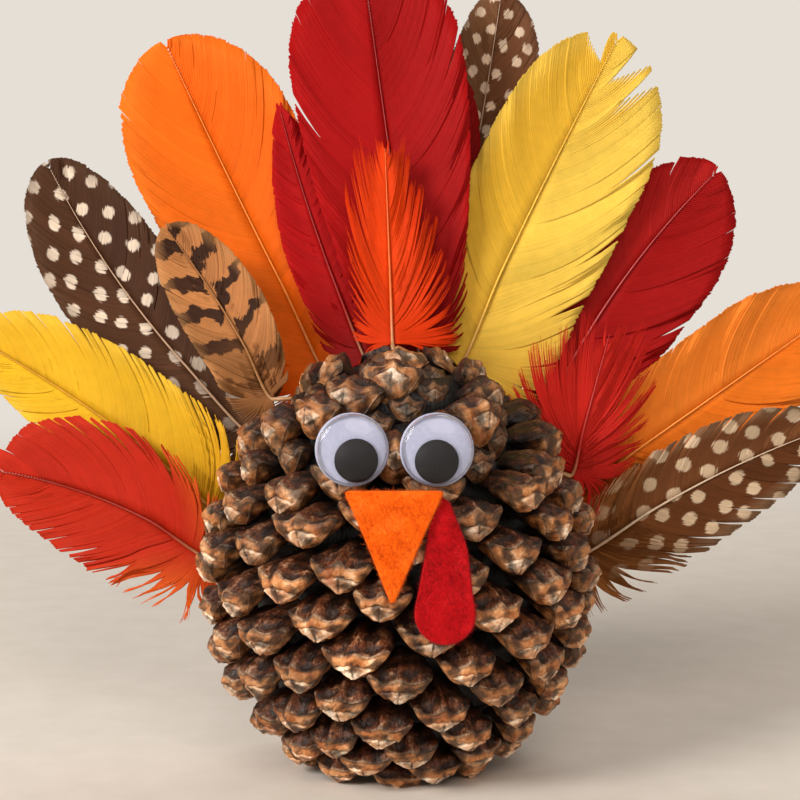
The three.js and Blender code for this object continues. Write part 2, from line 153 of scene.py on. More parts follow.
def makePiece(name, points, faces, material, slot, nodes, marks=None, uv=None, body="figure"):
    # points in millimetres and lists of equal faces go into one mesh, turned outwards by its signed volume
    points = np.asarray(points, float).reshape(-1, 3)
    volume = 0.0
    for f in faces:
        for k in range(1, f.shape[1] - 1):
            a, b, c = points[f[:, 0]], points[f[:, k]], points[f[:, k + 1]]
            volume += float((a * np.cross(b, c)).sum())
    if volume < 0:
        faces = [f[:, ::-1] for f in faces]
    corners = np.concatenate([f.ravel() for f in faces]).astype(np.int32)
    counts = np.concatenate([np.full(len(f), f.shape[1]) for f in faces])
    mesh = bpy.data.meshes.new(name)
    mesh.vertices.add(len(points))
    mesh.vertices.foreach_set("co", (points * mm).astype(np.float32).ravel())
    mesh.loops.add(len(corners))
    mesh.loops.foreach_set("vertex_index", corners)
    mesh.polygons.add(len(counts))
    mesh.polygons.foreach_set("loop_start", (np.cumsum(counts) - counts).astype(np.int32))
    mesh.polygons.foreach_set("use_smooth", np.ones(len(counts), bool))
    for key, values in (marks or {}).items():
        layer = mesh.attributes.new(key, "FLOAT", "POINT")
        layer.data.foreach_set("value", np.asarray(values, np.float32).ravel())
    if uv is not None:
        layer = mesh.uv_layers.new(name="UVMap")
        layer.data.foreach_set("uv", np.asarray(uv, np.float32).reshape(-1, 2)[corners].ravel())
    mesh.update(calc_edges=True)
    mesh.validate()
    mesh.materials.append(material)
    piece = addObject(name, mesh)
    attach(piece, body)
    if nodes:
        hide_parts(*nodes)
    return piece


def unit(v):
    # v divided by its length
    return v / np.linalg.norm(v, axis=-1, keepdims=True)


def smooth(low, high, x):
    # 3k^2 - 2k^3, from 0 at low to 1 at high
    k = np.clip((x - low) / (high - low), 0, 1)
    return k * k * (3 - 2 * k)


def bump(x, middle, width):
    # exp(-((x - middle) / width)^2)
    return np.exp(-((x - middle) / width) ** 2)


def sineNoise(points, wavelengths, rng):
    # sum of sine waves in random directions, each as high as its share of the wavelengths
    total = np.zeros(points.shape[:-1])
    for length in wavelengths:
        way = rng.normal(size=3)
        way *= 2 * math.pi / length / np.linalg.norm(way)
        total += length * np.sin(points @ way + rng.uniform(0, 2 * math.pi))
    return total / sum(wavelengths)


# Camera: lens and sensor, distance from the target, degrees above the table, near and far limit in metres
camera = {
    "lens": 92.0, "sensor": 36, "distance": 450, "rise": 6, "target": (0.66, 0, 81.5), "clip": (0.01, 20),
}


def placeCamera():
    # distance times (cos rise, sin rise) in front of and above the target, looking back at it
    data = bpy.data.cameras.new("camera")
    data.sensor_width, data.lens = camera["sensor"], camera["lens"]
    data.clip_start, data.clip_end = camera["clip"]
    viewer = addObject("camera", data)
    rise, away = math.radians(camera["rise"]), camera["distance"]
    x, y, z = camera["target"]
    viewer.location = (x * mm, (y - away * math.cos(rise)) * mm, (z + away * math.sin(rise)) * mm)
    viewer.rotation_euler = (math.pi / 2 - rise, 0, 0)
    bpy.context.scene.camera = viewer


# Studio, in metres: pale floor that fades into the backdrop, a large soft lamp at the left,
# weaker ones in front, at the right and behind
studio = {
    "floor": "#e6dfd6", "grain": "#e0d9cf", "rough": 0.8, "reach": 6.0, "fade": (0.28, 0.75),
    "backdrop": "#e6dfd6", "sky": ("#fff8f0", 0.21), "aim": (0, 0, 0.07),
    "lamps": [  # place, size, watts, colour
        ((-0.82, -0.70, 0.66), 0.55, 14.0, "#fffaf4"),
        ((0.15, -1.05, 0.85), 0.70, 5.4, "#fff2e6"),
        ((0.85, -0.65, 0.40), 0.70, 0.6, "#ffe8d2"),
        ((0.10, 0.80, 0.80), 0.60, 2.4, "#fffaf2"),
    ],
}


def placeLamps():
    # each lamp is tipped by its height over its flat distance and turned by its bearing,
    # so it faces the aim point
    for k, (place, size, watts, colour) in enumerate(studio["lamps"]):
        data = bpy.data.lights.new(f"lamp{k}", "AREA")
        data.shape, data.size, data.energy, data.color = "DISK", size, watts, linear(colour)[:3]
        lamp = addObject(f"lamp{k}", data)
        lamp.location = place
        x, y, z = np.subtract(studio["aim"], place)
        tip, bearing = math.atan2(z, math.hypot(x, y)), math.atan2(y, x)
        lamp.rotation_euler = (math.pi / 2 + tip, 0, bearing - math.pi / 2)


def backgroundRays(add):
    # 1 for the rays that see the background: straight from the camera, or by way of gloss or clear plastic
    rays = add("LightPath")
    most = rays.outputs["Is Camera Ray"]
    for kind in ("Is Glossy Ray", "Is Transmission Ray"):
        most = calculate(add, "MAXIMUM", most, rays.outputs[kind])
    return most


def paintWorld():
    # a dim even sky lights the object, the rays that see the background get the backdrop's colour
    world = bpy.data.worlds.new("studio")
    bpy.context.scene.world = world
    world.use_nodes = True
    world.node_tree.nodes.clear()
    add = functools.partial(addNode, world.node_tree)
    colour, strength = studio["sky"]
    sky = add("Background", {"Color": linear(colour), "Strength": strength})
    shown = add("Background", {"Color": linear(studio["backdrop"]), "Strength": 1.0})
    add("OutputWorld", {"Surface": add("MixShader", [backgroundRays(add), sky, shown])})


def layFloor():
    # matt paint with a faint grain, which passes into the backdrop with distance
    material, add, shader, output = startMaterial("paleFloorPaint")
    place = add("TexCoord").outputs["Object"]
    grain = addNoise(add, place, 90.0)  # 11 mm grain
    tone = add("ValToRGB", [grain], stops=[(0.3, studio["grain"]), (0.7, studio["floor"])])
    plug(shader, {"Base Color": tone, "Roughness": studio["rough"]})
    far = add("VectorMath", [place], operation="LENGTH").outputs["Value"]
    fade = add("MapRange", [far, *studio["fade"]], interpolation_type="SMOOTHSTEP")
    share = calculate(add, "MULTIPLY", fade, backgroundRays(add))
    glow = add("Emission", {"Color": linear(studio["backdrop"])})
    plug(output, {"Surface": add("MixShader", [share, shader, glow])})
    mesh = bpy.data.meshes.new("floor")
    r = studio["reach"]
    mesh.from_pydata([(-r, -r, 0), (r, -r, 0), (r, r, 0), (-r, r, 0)], [], [(0, 1, 2, 3)])
    mesh.materials.append(material)
    floor = addObject("floor", mesh)


placeCamera()
placeLamps()
paintWorld()
layFloor()
bpy.context.scene.view_settings.view_transform = "Standard"
print("camera, lamps and floor are in place")

# Pine cone: a golden-angle spiral of 189 scales in nine tiers, the same spiral as the solids
cone = {
    "radius": 43, "height": 92, "lowest": -66, "highest": 86, "tiers": 9, "perTier": 21,
    "divergence": 137.50776, "start": 354, "crowding": 0.16, "droop": -29, "droopBelow": 0.45,
    "riseAbove": 0.55, "topRise": 45, "topRiseFrom": 40, "lowestRoot": 9, "highestRoot": 87.5,
    "scaleWidth": 14.2, "neckHeight": 1.6, "umboReach": 1.2, "plateTop": 2.4,
    "rachis": 7.5, "rachisTop": 3.7, "taperStart": 0.56, "collar": 1.6, "collarSides": 32,
    "packed": 0.73, "gap": 0.3, "tableGap": 0.03, "around": 40, "seed": 11,
}
up = np.array([0, 0, 1.0])


def rachisAt(z):
    # constant radius, then a straight taper to the top
    start = cone["height"] * cone["taperStart"]
    k = np.clip((z - start) / (cone["height"] - start), 0, 1)
    return cone["rachis"] + (cone["rachisTop"] - cone["rachis"]) * k


def coneSpiral():
    # scale i sits at turn start + i * divergence; its height share is t - c sin(2 pi t) / 2 pi
    count, n = cone["tiers"] * cone["perTier"], cone["perTier"]
    i = np.arange(count)
    t = (i + 0.5) / count
    c = cone["crowding"]
    low, high = math.sin(math.radians(cone["lowest"])), math.sin(math.radians(cone["highest"]))
    latitude = np.arcsin(low + (high - low) * (t - c * np.sin(2 * np.pi * t) / (2 * np.pi)))
    turn = np.radians(cone["start"] + i * cone["divergence"])
    half = cone["height"] / (high - low)
    outward = np.stack([np.cos(turn), np.sin(turn), 0 * turn], -1)
    side = np.stack([-np.sin(turn), np.cos(turn), 0 * turn], -1)
    tip = (outward * (cone["radius"] * np.cos(latitude))[:, None]
           + up * (half * (np.sin(latitude) - low))[:, None])
    crown = np.maximum(latitude - math.radians(cone["topRiseFrom"]), 0)
    crown /= math.radians(cone["highest"] - cone["topRiseFrom"])
    rise = (math.radians(cone["droop"])
            + latitude * np.where(latitude < 0, cone["droopBelow"], cone["riseAbove"])
            + math.radians(cone["topRise"]) * crown ** 2)[:, None]
    along = outward * np.cos(rise) + up * np.sin(rise)
    edges = np.linspace(cone["lowestRoot"], cone["highestRoot"], cone["tiers"] + 1)
    margin = cone["gap"] + cone["neckHeight"]
    z = edges[i // n] + margin + (edges[1] - edges[0] - 2 * margin) * (i % n) / (n - 1)
    root = outward * (rachisAt(z) + cone["gap"] + cone["collar"] / 2)[:, None] + up * z[:, None]
    length = np.linalg.norm(tip - root, axis=1)
    size = np.sqrt((1 - c * np.cos(2 * np.pi * t)) / (1 + c))
    return {
        "tip": tip, "root": root, "middle": tip - along * length[:, None] / 2, "along": along,
        "side": side, "above": np.cross(along, side), "length": length, "size": size, "edges": edges,
        "bellyZ": -half * low, "half": half,
    }


spiral = coneSpiral()

# One scale, by share of its length: share of half width, then height above and depth below its axis
# in millimetres at size 1. Then its keel, the carving of its upper face, the umbo, the crown's odd scales,
# and how far scales differ. Last, from where to where each form sets in, and the middle and width of those
# that stand out: by share of the plate, across it, over the face, or by ring (past 1 on the face)
scaleForm = {
    "stations": [0, .1, .2, .3, .4, .49, .57, .64, .70, .75, .79, .825, .855, .88, .905, .93, .952, .97,
                 .984, .992, .997],
    "width": ([0, .15, .3, .46, .58, .68, .76, .83, .9, .96, 1],
              [.22, .3, .4, .52, .64, .77, .88, .95, 1, 1, .97]),
    "top": ([0, .28, .5, .62, .75, .83, .9, .96, 1], [.8, 1.0, 1.3, 1.6, 2.1, 2.45, 2.6, 2.5, 2.3]),
    "bottom": ([0, .28, .62, .86, .98, 1], [.8, 1.3, 2.2, 3.8, 5.1, 5.3]),
    "face": [.025, .07, .14, .22, .30, .37, .42, .46, .50, .55, .63, .74, .87, .96],
    "even": 0.65, "edgeDrop": 0.35, "keelLift": 1.7, "lipLift": 1.2, "keelPeak": 1.1, "keelDip": -0.6,
    "keelEnd": 0.3, "endPower": 2.5, "archPowers": (2.4, 0.8), "bellyPower": 2.2, "sharpens": 0.35,
    "frontRound": 2.8, "frontSpan": 0.95, "underCut": 1.5, "ridge": 0.45, "gully": 0.4, "grooves": 5,
    "grooveDeep": (0.05, 0.28), "grooveWide": 0.045, "grooveSway": 0.08, "fibre": 0.03, "fibreTurns": 44,
    "rough": 0.38, "fine": 0.1,
    "roughWaves": [4.2, 3.1, 2.4, 1.9, 1.5, 1.2, 1.0, 0.8], "fineWaves": [0.9, 0.75, 0.6, 0.5],
    "umboDrop": 1.5, "umboWide": 4.0, "umboTall": 1.9, "umboLow": 2.4, "umboStep": 0.6, "umboAt": 0.45,
    "crease": 0.4, "creaseWide": 0.24, "bulge": 0.45, "moat": 0.3, "nose": 0.5, "noseWide": 1.0,
    "ripple": 0.2, "rippleTurns": 3.1,
    "crown": (0.35, 0.7), "knob": 0.5, "chunky": 0.1, "shrunk": 0.3, "setBack": 0.24, "carriesFace": -35,
    # the next two are painted shade: one darkens the flanks of the scales, the other the crown
    "flankDirt": 0.36, "crownTint": -2.0,
    "vary": {"width": 0.06, "depth": 0.05, "lean": 0.16, "peak": 0.2, "dip": 0.25, "fibre": 2.0,
             "umboX": 0.35, "umboZ": 0.25, "ripple": 1.5, "twist": 0.07, "sideways": 0.55, "upward": 0.5,
             "tint": 0.9},
    "setsIn": {
        "knob": (0.5, 0.8), "edge": (0.5, 0.85), "lip": (0.84, 1), "keel": (0.87, 0.99),
        "front": (0.72, 0.99), "carving": (0.5, 0.72), "carvingEnd": (0.94, 1), "corner": (0.9, 1),
        "step": (0.42, 0.52), "nose": (0, 0.12), "ripple": (0, 0.2), "flankEnd": (0.25, 0.45),
        "weather": (0.35, 0.7), "shown": (0.72, 0.86), "faceMark": (0.99, 1.06), "umboMark": (1.41, 1.48),
    },
    "stands": {
        "peak": (0, 0.17), "dip": (0.47, 0.25), "ridge": (0, 0.13), "gully": (0.38, 0.2),
        # the last two are the pale worn lines on the keel and round the umbo, which also serve as a painted
        # highlight
        "moat": (0.43, 0.05), "moatMark": (0.42, 0.035), "keelWear": (1.006, 0.018), "umboWear": (1.48, 0.03),
    },
}

# Pieces glued to the scale tips: lean back in degrees, thickness, and their outline:
# share of half width by share of the way down from the top edge
glued = {f"eye_back_{side}": (8, 1.0, lambda down: np.sqrt(1 - (2 * down - 1) ** 2))
         for side in ("left", "right")}
glued["beak"] = (13, 1.2, lambda down: 1 - down)
glued["wattle"] = (13, 1.2, lambda down: 0.5 + 0.5 * down)
clearance = 0.05  # between a pressed tip and the piece glued to it


def pressBehind(points):
    # a scale tip behind a glued piece lies flat on it:
    # what stands past the piece's back plane moves back to it
    for node, (lean, thick, outline) in glued.items():
        low, high = (np.array(corner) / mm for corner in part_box(node))
        c, d = math.cos(math.radians(lean)), math.sin(math.radians(lean))
        away = points - np.array([(low[0] + high[0]) / 2, high[1], high[2] - thick * d])
        past = away @ np.array([0, -c, d])
        down = -(away @ np.array([0, d, c])) * c / (high[2] - low[2] - thick * d)
        half = (high[0] - low[0]) / 2 * outline(np.clip(down, 0, 1))
        behind = (down > 0) & (down < 1) & (np.abs(away[..., 0]) < half) & (past > -clearance)
        points = points - np.where(behind, past + clearance, 0)[..., None] * np.array([0, -c, d])
    return points


def setIn(what, run):
    # how far one of a scale's forms has set in
    return smooth(*scaleForm["setsIn"][what], run)


def stand(what, run):
    # how far one of a scale's forms stands out
    return bump(run, *scaleForm["stands"][what])


def vary(what, rng):
    # one chance value for each scale
    return rng.normal(0, scaleForm["vary"][what], (len(spiral["length"]), 1, 1))


def scaleGrid():
    # where the points of a scale lie: q across it and a from its middle line, s along the plate,
    # g over the face, ring along both; then how each scale differs by its place on the cone
    f, around = scaleForm, cone["around"]
    theta = 2 * np.pi * np.arange(around) / around
    saw = 1 - 2 * np.abs(((theta / np.pi + 1) % 2) - 1)  # straight from 1 to -1 over the top, and back below
    q = (f["even"] * saw + (1 - f["even"]) * np.cos(theta))[None, None, :]
    ring = np.concatenate([f["stations"], 1 + np.array(f["face"])])[None, :, None]
    # towards the crown every second scale stands out thick and broad, the one between is set back,
    # except for those at the very front, which carry the eyes and the felt
    crown = smooth(*f["crown"], (spiral["tip"][:, 2] - spiral["bellyZ"]) / spiral["half"])[:, None, None]
    odd = np.arange(len(crown)) % 2
    between = (odd * (spiral["tip"][:, 1] > f["carriesFace"]))[:, None, None]
    return types.SimpleNamespace(
        q=q, a=np.abs(q), upper=(np.sin(theta) > -1e-9)[None, None, :], ring=ring,
        s=np.array(f["stations"])[None, :, None], g=np.array(f["face"])[None, :, None],
        crown=crown, between=between, length=spiral["length"][:, None, None],
        size=spiral["size"][:, None, None] * (1 + crown * np.where(between, -f["shrunk"], f["chunky"])))


def scalePlate(grid, rng):
    # arched sections that end at the keel
    f, q, a, s, size, upper = scaleForm, grid.q, grid.a, grid.s, grid.size, grid.upper
    halfWidth = np.interp(s, *f["width"]) * cone["scaleWidth"] / 2 * size * (1 + vary("width", rng))
    knob = 1 + f["knob"] * grid.crown * setIn("knob", s)
    top = np.interp(s, *f["top"]) * size * knob
    bottom = np.interp(s, *f["bottom"]) * size * knob * (1 + vary("depth", rng))
    edge = -f["edgeDrop"] * size * setIn("edge", s) + f["lipLift"] * size * setIn("lip", s)
    keel = setIn("keel", s)
    inner, outer = f["archPowers"]
    arch = edge + (top - edge) * (1 - a ** inner) ** outer
    lean = vary("lean", rng)
    crest = size * (f["keelPeak"] * (1 + vary("peak", rng)) * stand("peak", q)
                    + f["keelDip"] * (1 + vary("dip", rng)) * stand("dip", a)
                    + f["keelEnd"] * a ** f["endPower"] + lean * q + f["keelLift"])
    crest = crest + (edge - crest) * setIn("corner", a)
    belly = edge - (bottom + edge) * (1 - a ** (f["bellyPower"] - f["sharpens"] * keel))
    rounded = f["frontRound"] * (1 - np.sqrt(1 - f["frontSpan"] * q ** 2))
    cutBack = keel * np.where(upper, 0, f["underCut"] * (1 - a))
    y = s * grid.length - size * (setIn("front", s) * rounded + cutBack)
    z = np.where(upper, arch + (crest - arch) * keel, belly)
    relief = scaleCarving(grid, rng)
    return (q * halfWidth, y, z + size * relief), relief


def scaleCarving(grid, rng):
    # upper face: central ridge, a hollow each side, grooves that fan out from the neck, fine fibres
    f, q, a, s = scaleForm, grid.q, grid.a, grid.s
    carved = setIn("carving", s) * (1 - setIn("carvingEnd", s)) * grid.upper * (1 - a ** 4)
    relief = f["ridge"] * stand("ridge", q) - f["gully"] * stand("gully", a)
    for _ in range(f["grooves"]):
        place = rng.uniform(-0.8, 0.8, grid.size.shape)
        deep = rng.uniform(*f["grooveDeep"], grid.size.shape)
        sway = f["grooveSway"] * np.sin(9 * s + 20 * place)
        relief = relief - deep * bump(q + sway, place, f["grooveWide"])
    fibres = np.sin(f["fibreTurns"] * q + 9 * np.sin(5 * s) + vary("fibre", rng))
    return carved * (relief + f["fibre"] * fibres)


def scaleFace(grid, plate, rng):
    # below the keel, rings pass from it to the umbo's diamond, then close on its middle
    f, q, a, g, size, upper = scaleForm, grid.q, grid.a, grid.g, grid.size, grid.upper
    ux, uy = vary("umboX", rng) * size, grid.length + cone["umboReach"] * size
    uz = (vary("umboZ", rng) - f["umboDrop"]) * size
    rimX, rimY, rimZ = (v[:, -1:, :] for v in np.broadcast_arrays(*plate))
    k = np.clip(g / f["umboAt"], 0, 1)
    shrink = np.clip((1 - g) / (1 - f["umboAt"]), 0, 1)
    roof = np.where(upper, f["umboTall"], -f["umboLow"]) * (1 - a)
    x = rimX * (1 - k) + k * (ux + f["umboWide"] * size * q * shrink)
    z = rimZ * (1 - k) + k * (uz + roof * size * shrink)
    y = rimY * (1 - k) + k * (uy - 0.5 * size * a * shrink)
    step = setIn("step", g)
    away = np.abs(x - ux) / (f["umboWide"] * size)
    y = y + size * (f["bulge"] * np.sin(np.pi * k) + f["umboStep"] * step * (1.2 - away)
                    - f["moat"] * stand("moat", g))
    y = y - size * f["crease"] * bump(x - ux, 0, f["creaseWide"] * size) * step
    nose = f["nose"] * bump(x - ux, 0, f["noseWide"] * size)
    y = y + size * nose * setIn("nose", g) * (1 - step) * upper
    wave = np.sin(f["rippleTurns"] * (x / size) + vary("ripple", rng))
    y = y + f["ripple"] * size * (1 - step) * wave * setIn("ripple", g)
    creased = np.maximum(0.45 * stand("moatMark", g) * upper, 0.6 * bump(x - ux, 0, 0.22 * size) * step)
    return (x, y, z), np.stack([ux, uy - 0.1 * size, uz], -1)[:, 0], creased


def weatherScales(grid, local, rng):
    # two sizes of waves lift the plate and push the face, then each scale twists a little
    f, ring = scaleForm, grid.ring
    rough, fine = (sineNoise(local + rng.uniform(0, 90, (len(local), 1, 1, 3)), f[waves], rng)
                   for waves in ("roughWaves", "fineWaves"))
    lift = grid.size * setIn("weather", ring) * (f["rough"] * rough + f["fine"] * fine)
    local[..., 2] += lift * np.where(ring < 1, np.where(grid.upper, 1, -0.6), 0.15)
    local[..., 1] += lift * np.where(ring < 1, 0, 0.9)
    twist = vary("twist", rng) * ring / 2
    c, d = np.cos(twist), np.sin(twist)
    wide, tall = local[..., 0] * c - local[..., 2] * d, local[..., 0] * d + local[..., 2] * c
    local[..., 0], local[..., 2] = wide, tall
    return rough


def growScales(grid, local, rng):
    # no two scales grow quite alike, and the axis bends from root to tip:
    # (1 - u)^2 root + 2 u (1 - u) middle + u^2 tip, then straight on
    run = local[..., 1:2] / grid.length
    local[..., 0:1] += vary("sideways", rng) * run ** 2
    local[..., 2:3] += vary("upward", rng) * run ** 2
    u = np.minimum(run, 1)
    root, middle, tip, along, side = (spiral[k][:, None] for k in ("root", "middle", "tip", "along", "side"))
    spot = (1 - u) ** 2 * root + 2 * u * (1 - u) * middle + u * u * tip
    over = np.cross(unit((1 - u) * (middle - root) + u * (tip - middle)), side)
    spot = spot + along * (run - u) * grid.length
    points = pressBehind(spot + side * local[..., :1] + over * local[..., 2:])
    points[..., 2] = np.maximum(points[..., 2], cone["tableGap"])
    return points


def scaleMarks(grid, rough, sunk, rng):
    # what the material reads at each point
    f, ring, upper, crown = scaleForm, grid.ring, grid.upper, grid.crown
    below = np.where((ring < 1) & ~upper, 1.0, 0.0)
    shown = setIn("shown", ring)
    # painted shade on the flanks reaches over the plate and fades out on the face
    flankShadeReach = np.concatenate([np.ones(grid.s.shape), 1 - setIn("flankEnd", grid.g)], 1)
    marks = {
        "faceShare": np.maximum(setIn("faceMark", ring), below * shown),
        "umboShare": setIn("umboMark", ring),
        # pale worn keel and umbo edges, also a painted highlight on them
        "wear": np.maximum(stand("keelWear", ring) * np.where(upper, 1, 0.4), 0.9 * stand("umboWear", ring)),
        # painted shade on the hidden underside of the plate
        "underShare": below * (1 - shown),
        # painted shade: darker towards a scale's root, deep in the cone, and on the set-back crown scales
        "reach": np.minimum(ring, 1) * (1 - 0.28 * crown * grid.between),
        # painted shade: darker where the rough waves dip, in grooves and creases, and towards the flanks,
        # where neighbours shade a scale
        "hollow": np.clip(0.5 - 0.9 * rough - 0.9 * sunk + f["flankDirt"] * grid.a ** 3 * flankShadeReach, 0, 1),
        # each scale's random tone, plus painted shade that darkens the crown
        "tint": vary("tint", rng) + f["crownTint"] * crown,
    }
    for key, v in marks.items():
        v = np.broadcast_to(v, rough.shape)
        marks[key] = np.concatenate([v.reshape(len(v), -1), v[:, 0, :1], v[:, -1, :1]], 1)
    return marks


def scaleSurfaces():
    # every scale as rings round its axis: the plate up to the keel, then the face down to the umbo,
    # and last the two points that close it
    rng = np.random.default_rng(cone["seed"])
    grid = scaleGrid()
    plate, carving = scalePlate(grid, rng)
    face, umbo, creased = scaleFace(grid, plate, rng)
    count, around = len(umbo), cone["around"]
    local = np.stack([np.concatenate([np.broadcast_to(p, (count, grid.s.size, around)), front], 1)
                      for p, front in zip(plate, face)], -1)
    rough = weatherScales(grid, local, rng)
    local = np.concatenate([local.reshape(count, -1, 3), 0 * umbo, umbo], 1)
    local[..., 1] *= 1 - scaleForm["setBack"] * (grid.crown * grid.between)[..., 0]
    uv = local[..., :2] + rng.uniform(0, 60, (count, 1, 2))
    points = growScales(grid, local, rng)
    marks = scaleMarks(grid, rough, np.concatenate([carving, -creased], 1), rng)
    return points, closedGrid(grid.ring.size, around), marks, uv


# Wood of the scales: ramps for the upper face, the face below the keel, the umbo (pale wood, brightened as a
# painted highlight) and the underside (painted shade), the colour of rubbed edges (worn wood, also a painted
# highlight), then how the painted shading by place is steepened and levelled, and the finish
wood = {
    "upper": [(0.37, "#260e04"), (0.46, "#472412"), (0.54, "#69432a"), (0.64, "#a4846a")],
    "face": [(0.32, "#744224"), (0.45, "#98653c"), (0.57, "#ba8a5e"), (0.70, "#e4c29e")],
    "umbo": [(0.36, "#94664a"), (0.5, "#c6a07c"), (0.62, "#f8ead6")],
    "under": [(0.38, "#240c03"), (0.6, "#4e240c")],
    "rubbed": "#ead2b0", "steep": 1.7, "level": 1.27, "saturation": 1.06, "hue": 0.494, "rough": (0.36, 0.6),
}


def coneScaleMaterial():
    # dry pine wood: weathered dark on the upper faces, tan below the keel, pale on the umbo and worn edges,
    # which also carry a painted highlight; painted shade darkens hollows, flanks, roots, undersides and the
    # crown
    material, add, shader, _ = startMaterial("weatheredPineScale")
    place = add("TexCoord").outputs["Object"]
    mark = functools.partial(readMark, add)
    coarse = addNoise(add, place, 260.0, 4.0, 0.6)  # 4 mm blotches
    fine = addNoise(add, place, 1500.0, 3.0, 0.65)  # 0.7 mm grain
    both = calculate(add, "ADD", coarse, fine)
    blend = calculate(add, "MULTIPLY", both, 0.5)
    fibres = add("Mapping", {"Vector": add("UVMap"), "Scale": (1.15, 0.17, 1)})  # 0.9 x 6 mm
    streak = addNoise(add, fibres, 1.0, 4.0, 0.62)
    streaky = calculate(add, "MULTIPLY", streak, 0.22)
    woody = calculate(add, "MULTIPLY_ADD", blend, 0.78, streaky)
    offset = calculate(add, "SUBTRACT", streak, 0.5)
    crack = add("MapRange", [calculate(add, "ABSOLUTE", offset), 0.0, 0.012, 0.35])  # hairline splits
    quiet = calculate(add, "MULTIPLY", fine, 0.25)
    calm = calculate(add, "MULTIPLY_ADD", coarse, 0.75, quiet)
    sources = {"upper": woody, "face": calm, "umbo": calm, "under": blend}
    ramps = {key: add("ValToRGB", [source], stops=wood[key]) for key, source in sources.items()}
    # the umbo is pale wood, brightened further as a painted highlight
    umboMask = calculate(add, "MULTIPLY", mark("umboShare"), 0.8)
    # patchy pale wear on edges, brightened as a painted highlight
    rubbed = add("MapRange", [coarse, 0.3, 0.6, 0.0, 0.5])
    wornAndHighlit = calculate(add, "MULTIPLY", mark("wear"), rubbed)
    # layers over the upper face: the face, the umbo, the underside's painted shade, and worn edges with a
    # painted highlight
    colour = ramps["upper"]
    for share, layer in ((mark("faceShare"), ramps["face"]), (umboMask, ramps["umbo"]),
                         (mark("underShare"), ramps["under"]), (wornAndHighlit, linear(wood["rubbed"]))):
        colour = add("MixRGB", [share, colour, layer])
    level = add("Mix", {"Factor": mark("faceShare"), "A": crack, "B": 1.0})
    # painted shade in hollows, grooves, creases and on the flanks
    recessShade = add("MapRange", [mark("hollow"), 0.42, 0.9, 1.05, 0.38])
    # painted shade towards the roots of the scales
    deep = add("MapRange", [mark("reach"), 0.5, 0.92, 0.06])
    # random tone per scale, and painted shade on the crown
    toneAndCrownShade = add("MapRange", [mark("tint"), -4.0, 2.0, 0.64, 1.18])
    for shade in (recessShade, deep, toneAndCrownShade):
        level = calculate(add, "MULTIPLY", level, shade)
    steep = calculate(add, "POWER", level, wood["steep"])
    strong = calculate(add, "MULTIPLY", steep, wood["level"])
    colour = add("HueSaturation", {"Color": colour, "Value": strong, "Saturation": wood["saturation"],
                                   "Hue": wood["hue"]})
    gloss = add("MapRange", [fine, 0.3, 0.7, *wood["rough"]])
    height = calculate(add, "ADD", woody, crack)
    plain = add("Mix", {"Factor": mark("faceShare"), "A": height, "B": blend})
    relief = add("Bump", {"Height": plain, "Strength": 0.9, "Distance": 0.0006})
    plug(shader, {"Base Color": colour, "Roughness": gloss, "Normal": relief, "IOR": 1.45,
                  "Specular IOR Level": 0.45})
    return material


def collarRing(tier):
    # square section turned about the axis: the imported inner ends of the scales
    low = spiral["edges"][tier] + cone["gap"] / 2
    high = spiral["edges"][tier + 1] - cone["gap"] / 2
    heights = np.array([low, low, high, high])
    bare = rachisAt(heights) + cone["gap"]
    girth = cone["radius"] * np.sqrt(1 - ((heights - spiral["bellyZ"]) / spiral["half"]) ** 2)
    packed = np.maximum(cone["packed"] * girth, bare + cone["collar"])
    radii = np.where([True, False, False, True], bare, packed)
    sides = cone["collarSides"]
    turn = 2 * np.pi * np.arange(sides)[:, None] / sides
    points = np.stack([radii * np.cos(turn), radii * np.sin(turn), heights + 0 * turn], -1).reshape(-1, 3)
    return points, gridQuads(sides + 1, 4) % (sides * 4)


def buildCone():
    # a tier is its twenty-one scales and the collar that holds them
    points, scaleFaces, marks, uv = scaleSurfaces()
    material = coneScaleMaterial()
    n, each = cone["perTier"], points.shape[1]
    for tier in range(cone["tiers"]):
        own = slice(tier * n, (tier + 1) * n)
        ring, ringQuads = collarRing(tier)
        faces = [copies(f, n, each) for f in scaleFaces] + [ringQuads[:, ::-1] + n * each]
        # the collar's points read 0 throughout, so the painted root shade makes it almost black
        values = {k: np.concatenate([v[own].ravel(), np.zeros(len(ring))]) for k, v in marks.items()}
        makePiece(f"coneTier{tier + 1}", np.concatenate([points[own].reshape(-1, 3), ring]), faces, material,
                  "cone_scale", [f"cone_tier_{tier + 1}"], values,
                  np.concatenate([uv[own].reshape(-1, 2), ring[:, :2]]))
    core = frame["nodes"]["cone_rachis"].data.materials
    core.clear()
    # dull and dark, with a 2 mm grain
    core.append(grainMaterial("pineCoreWood", 500.0, 4.0, "#2a180f", "#5b3d27", 0.85))
    print("cone built:", len(points), "scales of", sum(len(f) for f in scaleFaces), "faces")


buildCone()

# The fan: lean of its layers, their depths as shares of the cone's radius, where a shaft settles
# on its layer, its quill, rings and radii, the power with which it thins, the vane's bow backwards,
# and the powers of a plain tip
fan = {
    "lean": 7, "layers": [0.28, 0.41, 0.525, 0.63, 0.735], "settleAt": 0.3, "pull": 0.45, "quillRadius": 0.8,
    "quillDepth": 5, "quillShare": 0.25, "shaftStart": 0.02, "shaftReach": 0.97, "shaftRings": 40,
    "shaftSides": 10, "quill": [0.45, 0.52], "shaft": (0.40, 0.34), "thinning": 0.8, "camber": 0.9,
    "tip": (2.2, 0.5), "seed": 5,
}

